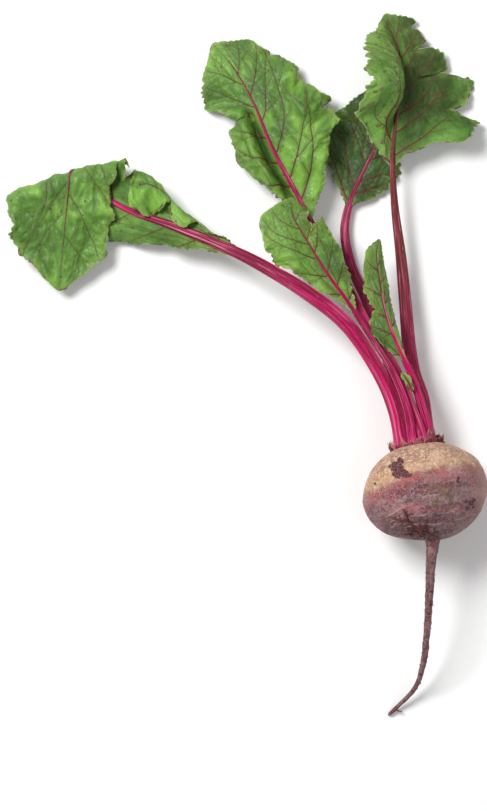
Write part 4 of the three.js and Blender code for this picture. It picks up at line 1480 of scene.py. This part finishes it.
# thin side roots on the upper skin, short tufts about them, and bristles on the taproot
rootlets = {
    # sideways and along, then the radius at each end
    "rows": [
        (
            [
                (-13.8, -9.6), (-12, -13), (-10.8, -16.8), (-8, -19), (-4.6, -21.9), (-1, -23.2),
                (3.4, -25), (9, -28),
            ],
            0.75, 0.35,
        ),
        ([(-19.8, -15.6), (-15, -16.2), (-10.8, -17.5), (-7.5, -21), (-6, -26.5)], 0.48, 0.26),
        ([(-4.6, -21.9), (-2.2, -24.5), (-0.4, -28.5)], 0.65, 0.3),
        ([(-1.5, -19.5), (-2.8, -23), (-4.8, -27.5)], 0.5, 0.26),
        ([(-8.5, -21.5), (-4, -22), (0.5, -19.2)], 0.45, 0.24),
        ([(0.5, -21.5), (2.2, -25.5), (1.6, -29)], 0.42, 0.22),
        ([(-16.5, -13.5), (-14.2, -18), (-16.5, -21.5)], 0.28, 0.16),
        ([(3.4, -25), (6.2, -23.6), (8.4, -25.2)], 0.3, 0.16),
        ([(-11.5, -14), (-9, -12.4), (-7.4, -13.6)], 0.28, 0.16),
    ],
    "tufts": 26,
    "tuftCentre": (-3.2, -23.0),
    "tuftSpread": (3.4, 2.38),
    "tuftRun": (1.5, 3.5),
    "tuftThick": (0.22, 0.42),
    "tuftThin": 0.14,
    "bristles": 34,
    "bristleShares": (0.42, 0.84),  # where they stand along the root's line
    "bristleLength": (0.2, 0.7),
    "bristleRadii": (0.42, 0.2),
    "forkShare": 0.972,
    "forkRadii": (0.6, 0.22),
    "seed": 71,
    "around": 7,
    "steps": 44,
}


def onSkin(x, y, lift):
    # the point of the upper skin at this place, raised a little
    hit, normal, _, _ = rootTree.ray_cast(Vector((x * mm, y * mm, 0.12)), Vector((0, 0, -1)))
    if hit is None:
        return None
    return np.array(hit) / mm + np.array(normal) * lift


def aboveFloor(points, least):
    return [np.array([p[0], p[1], max(p[2], least)]) for p in points]


def makeRootlets():
    rng = np.random.default_rng(rootlets["seed"])
    rows = list(rootlets["rows"])
    for _ in range(rootlets["tufts"]):
        x = rootlets["tuftCentre"][0] + rng.normal(0, rootlets["tuftSpread"][0])
        y = rootlets["tuftCentre"][1] + rng.normal(0, rootlets["tuftSpread"][1])
        turn = rng.uniform(0, 2 * np.pi)
        run = rng.uniform(*rootlets["tuftRun"])
        bend = turn + rng.uniform(-0.9, 0.9)
        second = (x + run * math.cos(turn), y + run * math.sin(turn))
        third = (second[0] + run * math.cos(bend), second[1] + run * math.sin(bend))
        rows.append(([(x, y), second, third], rng.uniform(*rootlets["tuftThick"]), rootlets["tuftThin"]))
    threads = []
    for index, (route, thick, thin) in enumerate(rows):
        last = len(route) - 1
        points = []
        for i, (x, y) in enumerate(route):
            lift = rng.uniform(0.1, 0.7) if 0 < i < last else -0.1  # the ends are sunk in the skin
            points.append(onSkin(x, y, thick * 0.7 + lift))
        points = [point for point in points if point is not None]
        if len(points) < 3:
            continue
        surface = threadSurface(points, 16, thick, thin, 0.0, index)
        threads.append(newTube("thread", rootlets["around"], rootlets["steps"], surface))
    for _ in range(rootlets["bristles"]):
        at = rng.uniform(*rootlets["bristleShares"])
        point, forward, right, up = rootLine.at(np.array(at))
        turn = rng.uniform(0, 2 * np.pi)
        out = right * math.cos(turn) + up * math.sin(turn)
        girth = np.interp(at, [0.4, 1], [root["tailRadius"], root["tailTip"]])
        length = rng.uniform(*rootlets["bristleLength"])
        points = [point + out * girth * 0.4, point + out * (girth + length * 0.3)]
        points.append(point + out * (girth + length) + forward * 0.5)
        surface = threadSurface(aboveFloor(points, 0.5), 8, *rootlets["bristleRadii"], 0.0, 9)
        threads.append(newTube("thread", 5, 8, surface))
    # a side root near the tip of the taproot
    tip, forward, right, up = rootLine.at(np.array(rootlets["forkShare"]))
    fork = [tip - forward * 1.2, tip - right * 1.6 - forward * 1.6, tip - right * 4.6 - forward * 3.4]
    surface = threadSurface(aboveFloor(fork, 0.7), 16, *rootlets["forkRadii"], 0.0, 5)
    threads.append(newTube("thread", rootlets["around"], 20, surface))
    material = newMaterial("wiryRoot", paintStub, rootletColours, 0.5)
    finish(joinAll("rootlets", threads), [], "skin", material)


rootletColours = {
    "pink": (0.20, 0.055, 0.035, 1),
    "streakAndHighlight": (0.34, 0.10, 0.055, 1),
    "dark": (0.060, 0.013, 0.011, 1),
    "dry": (0.34, 0.14, 0.08, 1),
    # the dark brown of the painted shade at the foot
    "brown": (0.075, 0.02, 0.014, 1),
}
makeRootlets()
print("rootlets made")

print("done")
